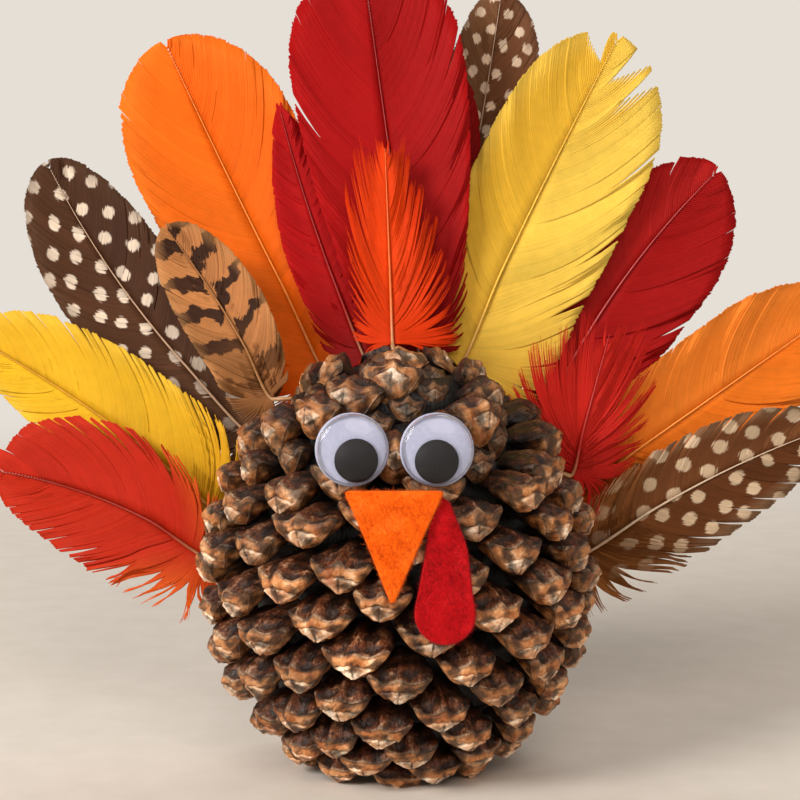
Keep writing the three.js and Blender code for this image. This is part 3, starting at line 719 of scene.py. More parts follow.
# One barb: spacing, half width and half thickness in millimetres, tilt in degrees, sizes of the clumps,
# how it curves to the tip and out, how far behind the shaft it starts, and the ripple along the vane's edge;
# for a firm vane and for a plume, its angle to the shaft by share of the way, how far down the shaft it may
# start, and how far clumps stray; then the reach of a split and of the skirt in shares of the way,
# how much wider apart downy barbs stand and how much thinner they are, how a clump holds together
# (by looseness, by down, at most), how uneven its barbs and the clumps are (firm, downy), how far
# the vane stands back from its base, how far clumps differ in depth, how much a barb's end thins,
# and in how many steps the outline is walked
barb = {
    "spacing": 0.34, "half": 0.27, "thick": 0.06, "tilt": 14, "tiltVary": 0.10, "steps": 9, "clump": (4, 22),
    "curve": 0.38, "belly": 0.28, "behind": 0.35, "ripple": 0.3, "rippleLength": 13,
    "firm": ([0, 0.25, 0.7, 1], [58, 42, 38, 26]), "firmDrop": 0.66, "firmStray": 0.7,
    "plume": ([0, 0.4, 1], [46, 26, 12]), "plumeDrop": 0.8, "plumeStray": 2.0,
    "splitReach": 0.05, "skirtReach": 0.25, "apart": 1.5, "thinner": 0.55, "hold": (0.6, 0.5, 0.85),
    "uneven": (0.005, 0.07), "clumpUneven": (0.004, 0.05), "setBack": 0.75, "clumpDepth": 0.14,
    "firmEnd": 0.42, "downyEnd": 0.85, "walkSteps": 800,
}

# Feathers. A row holds carrying scale, depth layer, fan angle, exposed length and side bow,
# as in the solids, then the vane's bare quill. Then its dye, how loosely its barbs hold together,
# how far up it is downy (1 is a plume), and its halves left and right of the shaft: half width,
# share of the way where it is widest, share of width at the base, and powers of the tip where they
# are its own. A skirt is how far the lowest barbs hang, left and right.
# Notches in the tip are side (1 left, -1 right), millimetres across, spread and depth,
# splits are side, share of the way, opening and inner share
feathers = {
    "red_low_left": {
        "row": (85, 0, -69.1, 54, -3.4, 1.5), "dye": "rustRed", "loose": 0.5, "fluff": 0.45,
        "left": (17.3, 0.2, 0.92), "right": (17, 0.5, 0.55), "skirt": (3, 2),
        "splits": [(1, 0.6, 2.5, 0.5), (1, 0.38, 4.5, 0.4), (1, 0.24, 4.5, 0.35), (1, 0.1, 4, 0.3),
                   (-1, 0.66, 2.2, 0.5), (-1, 0.42, 4.2, 0.45), (-1, 0.22, 3.4, 0.4), (-1, 0.08, 3, 0.4)],
    },
    "yellow_left": {
        "row": (98, 1, -55.3, 75.5, -2.6, 2), "dye": "amber", "loose": 0.4, "fluff": 0.4,
        "left": (11.5, 0.45, 0.8), "right": (16, 0.45, 0.85), "skirt": (0, 4),
        "splits": [(-1, 0.45, 1.6, 0.55), (-1, 0.7, 1.2, 0.6), (1, 0.6, 0.8, 0.7)],
    },
    "spotted_left": {
        "row": (132, 2, -38, 81.6, 4, 3), "dye": "guinea", "loose": 0.15, "fluff": 0.25,
        "left": (15, 0.6, 0.6), "right": (13, 0.6, 0.95), "skirt": (0, 13), "splits": [(1, 0.5, 0.9, 0.7)],
    },
    "barred_left": {
        "row": (153, 0, -32.3, 46.6, -1.3, 0.6), "dye": "pheasant", "loose": 0.2, "fluff": 0.22,
        "left": (10.2, 0.45, 0.75), "right": (9.4, 0.5, 0.45), "skirt": (9, 3), "splits": [(1, 0.35, 1, 0.6)],
    },
    "orange_left": {
        "row": (158, 3, -26.5, 89.3, 0.6, 2), "dye": "orange", "loose": 0.12, "fluff": 0.25,
        "left": (20.4, 0.68, 0.66), "right": (20, 0.68, 0.45), "skirt": (18, 0),
        "splits": [(1, 0.88, 1.3, 0.75), (1, 0.6, 0.8, 0.35)],
    },
    "crimson_left": {
        "row": (171, 2, -19.2, 63.1, 1.4, 2), "dye": "crimson", "loose": 0.2, "fluff": 0.3,
        "left": (8.6, 0.45, 0.85, (1.5, 0.8)), "right": (12, 0.35, 0.85, (1.5, 0.8)),
        "splits": [(1, 0.7, 0.8, 0.6)],
    },
    "red_centre": {
        "row": (176, 1, -8, 91.7, 0, 2), "dye": "red", "loose": 0.2, "fluff": 0.3,
        "left": (20, 0.72, 0.45), "right": (20, 0.72, 0.45),
        "splits": [(1, 0.66, 2.2, 0.5), (-1, 0.78, 1.8, 0.6), (1, 0.45, 1.2, 0.6)],
    },
    "crimson_centre": {
        "row": (163, 3, 10.2, 71.5, -1.8, 2), "dye": "crimsonDark", "loose": 0.2, "fluff": 0.3,
        "left": (7, 0.6, 0.6), "right": (8, 0.6, 0.6),
    },
    "spotted_top": {
        "row": (142, 4, 10.6, 101.2, -1, 4), "dye": "guineaPale", "loose": 0.15, "fluff": 0.25,
        "left": (10, 0.7, 0.4), "right": (12.8, 0.7, 0.4),
    },
    "orange_fluff": {
        "row": (184, 0, -2.3, 45.5, 0, 1), "dye": "flame", "loose": 0.75, "fluff": 1,
        "left": (9, 0.55, 0.9, (2.6, 0.6)), "right": (14, 0.1, 0.95, (1.1, 0.62)), "skirt": (6, 8),
        "splits": [(1, 0.5, 1.5, 0.4), (-1, 0.4, 1.5, 0.4), (-1, 0.75, 1.5, 0.4), (1, 0.8, 1.5, 0.4)],
    },
    "yellow_right": {
        "row": (168, 2, 26.3, 85.7, 0.6, 2), "dye": "gold", "loose": 0.15, "fluff": 0.1,
        "left": (16.5, 0.55, 0.7, (3, 0.55)), "right": (21.5, 0.55, 0.9, (3, 0.55)), "skirt": (3, 9),
        "notches": [(1, 4.2, 2.6, 0.8), (-1, 7.4, 2.2, 0.6), (-1, 12, 1.3, 0.4)],
        "splits": [(-1, 0.75, 2.2, 0.5), (-1, 0.5, 2.6, 0.55), (-1, 0.3, 2.4, 0.6), (1, 0.7, 0.9, 0.7)],
    },
    "red_right": {
        "row": (126, 3, 34.5, 79.4, 4.2, 3), "dye": "crimsonRed", "loose": 0.15, "fluff": 0.3,
        "left": (14, 0.62, 0.5), "right": (18.6, 0.64, 0.75), "skirt": (0, 6),
        "splits": [(1, 0.93, 1.6, 0.6), (-1, 0.56, 2.2, 0.6)],
    },
    "red_fluff": {
        "row": (118, 0, 15.3, 34.5, 0, 1.5), "dye": "scarlet", "loose": 0.7, "fluff": 1,
        "left": (17.5, 0.25, 0.85), "right": (13.5, 0.4, 0.95), "skirt": (11, 8),
        "splits": [(-1, 0.5, 1.5, 0.4)],
    },
    "orange_right": {
        "row": (105, 1, 55.7, 82.4, 0, 3), "dye": "tangerine", "loose": 0.15, "fluff": 0.35,
        "left": (14.6, 0.65, 0.7), "right": (14, 0.65, 0.6), "skirt": (6, 0),
        "splits": [(-1, 0.62, 0.9, 0.2), (-1, 0.7, 0.9, 0.25), (1, 0.5, 1, 0.7)],
    },
    "spotted_right": {
        "row": (84, 0, 63.4, 67.2, 2.6, 2), "dye": "guineaBrown", "loose": 0.6, "fluff": 0.45,
        "left": (11, 0.5, 0.7), "right": (15, 0.22, 0.95), "skirt": (2, 4),
        "splits": [(-1, 0.2, 4, 0.3), (-1, 0.34, 1.6, 0.5), (1, 0.25, 1.6, 0.5)],
    },
}


def layerY(layer, x, z):
    # depth of a fan layer: its share of the cone's radius, leaning back with distance from the cone
    reach = np.hypot(x, z - spiral["bellyZ"]) - cone["radius"]
    return fan["layers"][layer] * cone["radius"] + math.tan(math.radians(fan["lean"])) * reach


def outwards(lean):
    # (sin, 0, cos) of the fan angle
    return np.array([math.sin(math.radians(lean)), 0, math.cos(math.radians(lean))])


def sideways(way):
    # level direction square to a heading: (-z, 0, x), made one long
    return unit(np.stack([-way[..., 2], 0 * way[..., 0], way[..., 0]], -1))


def featherLine(row):
    # shaft line: a curve through mouth, middle and end laid on its layer, joined to the quill by a cubic
    seat, layer, lean, length, bow = row[:5]
    lift = cone["plateTop"] * spiral["size"][seat] + cone["gap"] + fan["quillRadius"]
    mouth = spiral["tip"][seat] + spiral["above"][seat] * lift
    out = outwards(lean)
    left = np.array([-out[2], 0, out[0]])
    end = mouth + out * length
    middle = mouth + out * length / 2 + left * 2 * bow

    def settled(s):
        # (1 - s)^2 mouth + 2 s (1 - s) middle + s^2 end
        s = np.asarray(s, float)[..., None]
        p = (1 - s) ** 2 * mouth + 2 * s * (1 - s) * middle + s * s * end
        p[..., 1] = layerY(layer, p[..., 0], p[..., 2])
        return p

    at = fan["settleAt"]
    join = settled(at)
    joinSlope = (settled(at + 0.01) - settled(at - 0.01)) * at / 0.02
    startSlope = spiral["along"][seat] * length * at * fan["pull"]

    def place(s):
        # the cubic through both ends with both slopes, up to where the shaft settles
        k = (np.asarray(s, float) / at)[..., None]
        bend = ((2 * k ** 3 - 3 * k ** 2 + 1) * mouth + (k ** 3 - 2 * k ** 2 + k) * startSlope
                + (3 * k ** 2 - 2 * k ** 3) * join + (k ** 3 - k ** 2) * joinSlope)
        return np.where(k < 1, bend, settled(s))

    def heading(s):
        # from just before a place to just after it
        return unit(place(np.asarray(s) + 0.005) - place(np.maximum(np.asarray(s) - 0.005, 0)))

    return mouth, place, heading


def vaneShare(f, widest, base, tip):
    # quarter sine from the base to the widest place, then (1 - k^p)^q to the tip
    rising = base + (1 - base) * np.sin(np.pi / 2 * np.minimum(f / widest, 1))
    k = np.clip((f - widest) / (1 - widest), 0, 1)
    return np.where(f < widest, rising, np.maximum((1 - k ** tip[0]) ** tip[1], 0.05))


def barbRoots(spec, sign, rng):
    # one side of a vane: barbs at even steps along the outline, wider apart where it is downy,
    # in clumps of neighbours whose tips draw together
    length, bare = spec["row"][3], spec["row"][5]
    half, widest, base, tip = (*spec["left" if sign > 0 else "right"], fan["tip"])[:4]
    first = bare / length
    fluff = spec["fluff"]
    kind = "plume" if fluff == 1 else "firm"
    fine = np.linspace(0, 1, barb["walkSteps"])
    step = np.hypot(np.diff(length * (1 - first) * fine), np.diff(half * vaneShare(fine, widest, base, tip)))
    apart = np.where(fine[1:] < fluff, 1 + barb["apart"] * spec["loose"], 1)
    walk = np.concatenate([[0], np.cumsum(step * apart)])
    count = int(walk[-1] / barb["spacing"])
    f = np.interp((np.arange(count) + 0.5) / count * walk[-1], walk, fine)
    downy = np.ones(count) if fluff == 1 else np.clip(np.where(f < fluff, 1 - f / fluff, 0) * 1.4, 0, 1)
    end = length * (first + (1 - first) * f)
    wide = half * vaneShare(f, widest, base, tip)
    angle = np.radians(np.interp(f, *barb[kind]))
    drop = np.minimum(wide / np.tan(angle), barb[kind + "Drop"] * (end - length * first))
    clump = np.searchsorted(np.cumsum(rng.integers(*barb["clump"], count)), np.arange(count), side="right")
    return types.SimpleNamespace(
        sign=sign, count=count, kind=kind, f=f, half=half, wide=wide, downy=downy, end=end, drop=drop,
        start=(end - drop)[:, None], centre=(np.bincount(clump, end) / np.bincount(clump))[clump],
        noise=rng.normal(0, 1, clump.max() + 1)[clump])


def barbPaths(spec, row, u, rng):
    # a is the way along the shaft and w the way out from it, in millimetres, by share u of the barb
    loose, start, f = spec["loose"], row.start, row.f
    byLoose, byDown, most = barb["hold"]
    hold = np.clip(loose * byLoose + byDown * row.downy, 0, most)
    stray = row.noise * loose * barb[row.kind + "Stray"]
    a = start + row.drop[:, None] * ((1 - barb["curve"]) * u + barb["curve"] * u ** 2)
    w = row.wide[:, None] * ((1 + barb["belly"]) * u - barb["belly"] * u ** 2)
    own, shared = barb["uneven"], barb["clumpUneven"]
    ragged = (1 + rng.normal(0, 1, row.count) * (own[0] + own[1] * row.downy * loose)
              + row.noise * (shared[0] + shared[1] * row.downy))
    a = start + (a - start) * ragged[:, None]
    w = w * np.minimum(ragged, 1.06)[:, None]
    a = a + ((row.centre - row.end) * hold)[:, None] * smooth(0.4, 1, u) + stray[:, None] * u ** 3
    for side, share, opening, inner in spec.get("splits", []):
        if side == row.sign:
            push = np.sign(f - share) * opening / 2 * np.exp(-np.abs(f - share) / barb["splitReach"])
            a = a + push[:, None] * smooth(inner, 1, u)
    for side, middle, spread, depth in spec.get("notches", []):
        if side == row.sign:
            near = np.clip(1 - np.abs(row.wide - middle) / spread, 0, 1)
            kept = 1 - (depth * near * (f > 0.8))[:, None]
            a, w = start + (a - start) * kept, w * kept
    hang = spec.get("skirt", (0, 0))[row.sign < 0] * np.clip(1 - f / barb["skirtReach"], 0, 1) ** 1.5
    return a - hang[:, None] * u ** 1.3, w


def layBarbs(spec, row, a, w, rng):
    # onto the layer, behind the shaft, bowed back towards the edge
    _, layer, lean, length, _, _ = spec["row"]
    _, place, heading = featherLine(spec["row"])
    s = a / length
    spot = place(np.maximum(s, 0)) + outwards(lean) * (length * np.minimum(s, 0))[..., None]
    points = spot + sideways(heading(np.clip(s, 0, 0.995))) * (row.sign * w)[..., None]
    edge = w / np.maximum(row.wide, 1.0)[:, None]
    phase = 2 * np.pi * row.end / barb["rippleLength"] + rng.uniform(0, 6)
    ripple = barb["ripple"] * np.sin(phase)[:, None] * edge ** 2
    barbDepth, shaftDepth = (layerY(layer, p[..., 0], p[..., 2]) for p in (points, spot))
    points[..., 1] += (barbDepth - shaftDepth + barb["behind"]
                       + barb["setBack"] * smooth(0, 0.35, w / row.half)
                       + fan["camber"] * edge ** 1.6 * (row.wide / row.half)[:, None]
                       + ripple + (barb["clumpDepth"] * row.noise * (1 + 2 * row.downy))[:, None] * edge)
    return points, edge


def barbSections(spec, row, u, points, rng):
    # flat section of four corners, tilted like a louvre
    run = unit(np.gradient(points, axis=1))
    front = unit(np.array([0, -1.0, 0]) - run * -run[..., 1:2])
    beside = np.cross(run, front)
    tilt = row.sign * math.radians(barb["tilt"]) + rng.normal(0, barb["tiltVary"], row.count)
    tilt = tilt[:, None, None]
    thinning = (barb["firmEnd"] * smooth(0.82, 1, u) * (1 - row.downy)[:, None]
                + barb["downyEnd"] * smooth(0.4, 1, u) * row.downy[:, None])
    full = barb["half"] * (1 - barb["thinner"] * row.downy * spec["loose"])[:, None]
    flat = (beside * np.cos(tilt) + front * np.sin(tilt)) * (full * (1 - thinning))[..., None]
    face = (front * np.cos(tilt) - beside * np.sin(tilt)) * barb["thick"]
    return np.stack([points + c for c in (flat + face, flat - face, -flat - face, -flat + face)], 2)


def vaneBarbs(spec, sign, rng):
    # one side of a vane: each barb leaves the shaft, curves towards the tip and ends on the outline
    row = barbRoots(spec, sign, rng)
    u = np.linspace(0, 1, barb["steps"])[None]
    a, w = barbPaths(spec, row, u, rng)
    points, edge = layBarbs(spec, row, a, w, rng)
    ring = barbSections(spec, row, u, points, rng)
    # what the material reads, the same at the four corners
    spread4 = lambda v: np.broadcast_to(np.broadcast_to(v, a.shape)[..., None], ring.shape[:3]).ravel()
    tone = 0.6 * rng.normal(0, 1, row.count) + 0.8 * row.noise
    marks = {"across": sign * np.clip(edge, 0, 1), "reach": u, "along": np.clip(a / spec["row"][3], 0, 1),
             "tone": tone[:, None], "down": row.downy[:, None]}
    uv = np.stack([spread4(sign * w), spread4(a)], -1)
    return ring.reshape(-1, 3), uv, {k: spread4(v) for k, v in marks.items()}, row.count


def vanePiece(name, spec, material, rng):
    # both sides in one mesh, each barb a strip of four-cornered sections with closed ends
    n = 4 * barb["steps"]
    strip = np.concatenate([gridQuads(barb["steps"], 4), [[3, 2, 1, 0], [n - 4, n - 3, n - 2, n - 1]]])
    left, right = (vaneBarbs(spec, sign, rng) for sign in (1, -1))
    points, uv = (np.concatenate([left[k], right[k]]) for k in (0, 1))
    marks = {k: np.concatenate([left[2][k], right[2][k]]) for k in left[2]}
    faces = [copies(strip, left[3] + right[3], n)]
    makePiece("vane" + name.title().replace("_", ""), points, faces, material,
              "vane_" + name.split("_")[0], ["vane_" + name], marks, uv)


def shaftPiece(name, spec, material):
    # rings square to the line, from the quill's end to the tip, thinning with a power of the way
    seat, around = spec["row"][0], fan["shaftSides"]
    mouth, place, heading = featherLine(spec["row"])
    inner = spiral["along"][seat]
    depth = min(fan["quillDepth"], fan["quillShare"] * spiral["length"][seat])
    s = np.linspace(fan["shaftStart"], fan["shaftReach"], fan["shaftRings"])
    spots = np.concatenate([[mouth - inner * depth, mouth], place(s)])
    headings = np.concatenate([[inner, inner], heading(s)])
    thick, thinner = fan["shaft"]
    radii = np.concatenate([fan["quill"], thick - thinner * s ** fan["thinning"]])[:, None]
    across = sideways(headings)
    front = np.cross(across, headings)
    turn = 2 * np.pi * np.arange(around) / around
    rings = (spots[:, None] + across[:, None] * (radii * np.cos(turn))[..., None]
             + front[:, None] * (radii * np.sin(turn))[..., None])
    points = np.concatenate([rings.reshape(-1, 3), spots[:1], spots[-1:]])
    run = np.concatenate([np.repeat(np.concatenate([[0, 0], s]), around), [0, fan["shaftReach"]]])
    makePiece("shaft" + name.title().replace("_", ""), points, closedGrid(len(spots), around), material,
              "feather_shaft", ["shaft_" + name], {"along": run})


# Dyes: left half, right half, near the cone, loose down, along the outer edge, shaft, then the pattern:
# its kind, its colour, its pitch and the size of a dot's radius or a bar in millimetres
dyes = {
    "rustRed": ("#c22a10", "#c42b18", "#b42206", "#f87426", "#d23c26", "#9a200c", None),
    "amber": ("#f2c226", "#ecba28", "#ecb224", "#ecb224", "#f4ce4c", "#dfa022", None),
    "guinea": ("#54331f", "#4c2e1d", "#63422c", "#63422c", "#5e4230", "#b8967a",
               ("dots", "#e8d6c2", 5.9, 1.35)),
    "guineaPale": ("#7c5436", "#74492e", "#7a5238", "#7a5238", "#85604a", "#b99a80",
                   ("dots", "#e6cfb6", 4.6, 1.1)),
    "guineaBrown": ("#7a4a2a", "#6c3e20", "#8c5426", "#9c602e", "#a98a6c", "#d2b89c",
                    ("dots", "#e2c8a8", 5.9, 1.5)),
    "pheasant": ("#bc7e4a", "#c4824e", "#8a5830", "#7e5230", "#c48e5c", "#a06c3a",
                 ("bars", "#3e2417", 9.0, 3.2)),
    # the colour near the cone is raised as painted light, where other feathers shade the base
    "orange": ("#f67414", "#f56e10", "#f86c10", "#f4640c", "#fd8a2c", "#fb8c2c", None),
    # pushed near full brightness as painted light against the cone's shadow on the right-hand feathers
    "tangerine": ("#ff9030", "#ff8a26", "#fc801e", "#f46814", "#ff9c40", "#ff9838", None),
    "crimson": ("#b40b0f", "#b80e12", "#7c0402", "#7c0402", "#c41418", "#a01a18", None),
    # a copy of crimson painted darker as shade, for the middle crimson feather
    "crimsonDark": ("#8c0709", "#900a0b", "#7a0402", "#7a0402", "#9a0c0e", "#8a1212", None),
    # the right half is a little darker: painted shade
    "red": ("#b41012", "#a80e10", "#960605", "#960605", "#ba1416", "#96090b", None),
    "flame": ("#ee480a", "#f04a0b", "#dc3804", "#e23c06", "#f8703a", "#f0702a", None),
    "gold": ("#f0c03a", "#f9d65a", "#f0c44a", "#f0c44a", "#fadc68", "#f4c038", None),
    "crimsonRed": ("#b01a18", "#ae1616", "#a00c0e", "#a00c0e", "#b61a1a", "#c04a4c", None),
    "scarlet": ("#da2a20", "#dc2c22", "#b0140e", "#cc241a", "#e0463a", "#b81c16", None),
}


def patternInk(add, pattern, uv, tone, halves):
    # 1 on the ink of a natural feather: dots in staggered rows,
    # or bars that wander and slant out from the shaft
    kind, _, pitch, extent = pattern
    own = calculate(add, "MULTIPLY", tone, 0.35)  # each barb carries the edge on or cuts it short
    split = add("SeparateXYZ", [uv])
    run = calculate(add, "ADD", split.outputs["Y"], own)
    if kind == "dots":
        shifted = add("CombineXYZ", [split.outputs["X"], run])
        turned = add("Mapping", {"Vector": shifted, "Rotation": (0, 0, math.radians(45)),
                                 "Scale": (1 / pitch, 0.92 / pitch, 1)})
        cells = add("TexVoronoi", {"Vector": turned, "Scale": 1.0, "Randomness": 0.3},
                    voronoi_dimensions="2D")
        edge = extent / pitch
        return add("MapRange", [cells, edge + 0.04, edge - 0.02])
    wobble = addNoise(add, uv, 0.28, 1.0)  # bars wander over 3.5 mm
    away = calculate(add, "ABSOLUTE", split.outputs["X"])
    for source, factor in ((away, -0.5), (halves, 0.4 * pitch), (wobble, 7.0)):
        run = calculate(add, "MULTIPLY_ADD", source, factor, run)
    phase = calculate(add, "MULTIPLY", run, 2 * math.pi / pitch)
    level = math.cos(math.pi * extent / pitch)
    return add("MapRange", [calculate(add, "SINE", phase), level - 0.08, level + 0.12])


def vaneMaterial(dye):
    # dyed feather barbs: soft sheen, each clump a little lighter or darker, deeper colour near the cone
    left, right, low, down, rim, _, pattern = dyes[dye]
    material, add, shader, output = startMaterial(dye + "Feather")
    mark = functools.partial(readMark, add)
    uv = add("UVMap")
    halves = add("MapRange", [mark("across"), -0.12, 0.12])
    colour = add("MixRGB", [halves, linear(right), linear(left)])
    if pattern:
        ink = patternInk(add, pattern, uv, mark("tone"), halves)
        colour = add("MixRGB", [ink, colour, linear(pattern[1])])
    deep = add("MapRange", [mark("along"), 0.42, 0.05, 0.0, 0.85])
    outer = add("MapRange", [mark("reach"), 0.7, 1.0, 0.0, 0.5])
    fluffy = calculate(add, "MULTIPLY", mark("down"), mark("reach"))
    for share, tint in ((deep, low), (outer, rim), (fluffy, down)):
        colour = add("MixRGB", [share, colour, linear(tint)])
    streaks = addNoise(add, uv, 0.35, 3.0)  # 3 mm drifts in the dye
    drift = add("MapRange", [streaks, 0.3, 0.7, 0.96, 1.04])
    spread = 0.3 if pattern else 0.12  # natural feathers vary more from barb to barb than dyed ones
    each = add("MapRange", [mark("tone"), -2.5, 2.5, 1 - spread, 1 + spread])
    level = calculate(add, "MULTIPLY", drift, each)
    colour = add("HueSaturation", {"Color": colour, "Value": level})
    plug(shader, {"Base Color": colour, "Roughness": 0.6, "Specular IOR Level": 0.12})
    thin = add("BsdfTranslucent", {"Color": colour})
    plug(output, {"Surface": add("MixShader", [0.22, shader, thin])})
    return material


def shaftMaterial(dye):
    # horn of the shaft: half glossy, paler at the quill, tinted by the dye further out
    tint = dyes[dye][5]
    material, add, shader, _ = startMaterial(dye + "Shaft")
    run = readMark(add, "along")
    grain = addNoise(add, add("TexCoord").outputs["Object"], 700.0)  # 1.4 mm mottle
    ramp = add("ValToRGB", [run], stops=[(0.0, "#b98a5e"), (0.22, tint), (1.0, tint)])
    level = add("MapRange", [grain, 0.3, 0.7, 0.88, 1.1])
    colour = add("HueSaturation", {"Color": ramp, "Value": level})
    plug(shader, {"Base Color": colour, "Roughness": 0.38})
    return material


def buildFeathers():
    rng = np.random.default_rng(fan["seed"])
    vanes = {dye: vaneMaterial(dye) for dye in dyes}
    horns = {dye: shaftMaterial(dye) for dye in dyes}
    for name, spec in feathers.items():
        vanePiece(name, spec, vanes[spec["dye"]], rng)
        shaftPiece(name, spec, horns[spec["dye"]])
    print("feathers built:", len(feathers))


buildFeathers()

# Googly eyes: white back disc, loose black pupil, clear dome with a flat rim; rest is where a pupil lies,
# in degrees off straight down
eye = {
    "radius": 7.5, "disc": 1.0, "domeHeight": 3.2, "wall": 0.5, "pupilRadius": 4.45, "pupil": 0.7,
    "play": 0.14, "rest": {"left": 22, "right": 0}, "segments": 72,
}


def lathe(profile, origin, axes, segments):
    # radius and height pairs turned about the third axis;
    # the first and last pair lie on it and close the shape
    u, v, w = axes
    r, h = np.array(profile, float).T
    turn = 2 * np.pi * np.arange(segments) / segments
    rings = (r[1:-1, None, None] * (np.cos(turn)[:, None] * u + np.sin(turn)[:, None] * v)
             + h[1:-1, None, None] * w + origin)
    points = np.concatenate([rings.reshape(-1, 3), [origin + h[0] * w, origin + h[-1] * w]])
    return points, closedGrid(len(profile) - 2, segments)


def clearMaterial():
    # thin clear plastic: lets the disc show, mirrors the lamps by Fresnel
    material, add, shader, output = startMaterial("clearDomePlastic")
    plug(shader, {"Base Color": linear("#ffffff"), "Roughness": 0.04, "Metallic": 1.0})
    glass = add("BsdfTransparent", {"Color": linear("#fbfbfd")})
    plug(output, {"Surface": add("MixShader", [add("Fresnel", {"IOR": 1.22}), glass, shader])})
    return material


def eyeProfiles():
    # radius and height pairs of disc, pupil and dome; the dome is a quarter ellipse on a short straight wall
    radius, high, thin = eye["radius"], eye["domeHeight"], eye["wall"]
    inner, wall = radius - thin, eye["pupil"] + 2 * cone["gap"]
    bow = np.radians(np.linspace(4, 86, 14))
    outer = [(radius * math.cos(a), wall + (high - wall) * math.sin(a)) for a in bow]
    under = [(inner * math.cos(a), wall + (high - thin - wall) * math.sin(a)) for a in bow]
    rim = [(radius, wall), (radius, 0.02), (radius - 0.05, 0), (inner, 0), (inner, wall)]
    dome = [(0, high)] + outer[::-1] + rim + under + [(0, high - thin)]
    t = eye["disc"]
    disc = [(0, 0), (radius - 0.2, 0), (radius, 0.15), (radius, t - 0.15), (radius - 0.15, t),
            (radius - 0.6, t), (0, t)]
    r, t = eye["pupilRadius"], eye["pupil"]
    pupil = [(0, 0), (r - 0.08, 0), (r, 0.08), (r, t - 0.15), (r - 0.15, t), (0, t)]
    return disc, pupil, dome


def buildEyes():
    # each eye stands on its hinge: the hinge point is the dome's inner top,
    # and the pupil rests on the wall below
    disc, pupil, dome = eyeProfiles()
    # moulded plastic with a 0.8 mm mottle, the black one duller
    white = grainMaterial("whiteEyePlastic", 1200.0, 2.0, "#b6bbd2", "#c0c5da", 0.35)
    black = grainMaterial("blackPupilPlastic", 1200.0, 2.0, "#0a0707", "#120d0c", 0.5, 0.2)
    clear = clearMaterial()
    orbit = eye["radius"] - eye["wall"] - eye["pupilRadius"] - eye["play"]
    for joint in frame["record"]["behaviour"]["joints"]:
        side = joint["name"].split("_")[1]
        w = unit(np.array(joint["axis"], float))
        u = np.array([1.0, 0, 0])
        v = np.cross(w, u)
        base = np.array(joint["pos_m"]) / mm - w * (eye["domeHeight"] - eye["wall"])
        back = base - w * (eye["disc"] + cone["gap"])
        rest = math.radians(eye["rest"][side])
        loose = base + u * orbit * math.sin(rest) - v * orbit * math.cos(rest)
        for kind, node, profile, spot, paint, body, slot in (
                ("eyeBack", "eye_back_", disc, back, white, "figure", "eye_white"),
                ("pupil", "pupil_", pupil, loose, black, joint["child"], "eye_black"),
                ("eyeDome", "eye_dome_", dome, base, clear, "figure", "eye_clear")):
            points, faces = lathe(profile, spot, (u, v, w), eye["segments"])
            makePiece(kind + side.title(), points, faces, paint, slot, [node + side], body=body)
    print("eyes built")


buildEyes()

# Felt beak and wattle: outlines in millimetres from the middle of the line under the eyes, across and up.
# Drawn is the share of the rings, from the middle of the front round the edge to the back.
# Hairs have a length and a rise for the edge and for the face, a stray turn at the edge and a curl
felt = {
    "thickness": 1.2, "tilt": 13, "middle": -0.5, "eyeBelowTop": 17.4, "belowEyes": 0.4, "faceTilt": 8,
    "beakWidth": 20.1, "beakLength": 22.6, "tipShift": -0.35,
    "wattleWidth": 12.6, "wattleLength": 31, "wattleShift": 10.2, "wattleTop": 1.2,
    "drawn": [.12, .25, .38, .5, .62, .73, .82, .89, .94, .975, .992, 1.0,
              .992, .975, .94, .89, .8, .6, .4, .2],
    "edgeWaves": [1.1, 0.8, 0.6], "swellWaves": [7, 4, 2.5, 1.6], "swell": 0.10,
    "rim": 220, "seed": 23, "fibres": 2600, "edgeFibres": 0.35, "fibre": [0.03, 0.028, 0.012],
    "hairReach": ((0.15, 0.6), (0.5, 1.5)), "hairRise": ((-0.15, 0.15), (0.0, 0.22)), "hairTurn": 0.7,
    "hairCurl": 0.5,
}


def beakOutline():
    # a triangle with cut corners, its tip a little to the left
    b, h, c = felt["beakWidth"], felt["beakLength"], felt["tipShift"]
    return [(-.5 * b, -.4), (-.46 * b, 0), (.46 * b, 0), (.5 * b, -.4), (.3 * b, -.4 * h), (c + .4, -h),
            (c - .4, -h), (-.3 * b, -.42 * h)]


def wattleOutline():
    # a round end below, drawn together to a narrow top
    r, c, top = felt["wattleWidth"] / 2, felt["wattleShift"], -felt["wattleTop"]
    bottom = r - felt["wattleLength"]
    turn = np.radians(np.linspace(-205, 25, 13))
    rim = [(c + r * math.cos(a), bottom + r * math.sin(a)) for a in turn]
    neck = [(c + .72 * r, .45 * bottom), (c + .1 * r, top), (c - .4 * r, top), (c - .62 * r, .5 * bottom)]
    return rim + neck


def feltAxes():
    # the felt's plane leans back with the cone: origin under the eyes, then across, up and out of the plane
    tilt = math.radians(felt["tilt"])
    c, d = math.cos(tilt), math.sin(tilt)
    eyeZ = cone["height"] - felt["eyeBelowTop"]
    z = eyeZ - eye["radius"] * math.cos(math.radians(felt["faceTilt"])) - felt["belowEyes"]
    girth = cone["radius"] * math.sqrt(1 - ((z - spiral["bellyZ"]) / spiral["half"]) ** 2)
    origin = np.array([felt["middle"], -math.sqrt(girth ** 2 - felt["middle"] ** 2), z])
    return origin, np.array([1.0, 0, 0]), np.array([0, d, c]), np.array([0, -c, d])


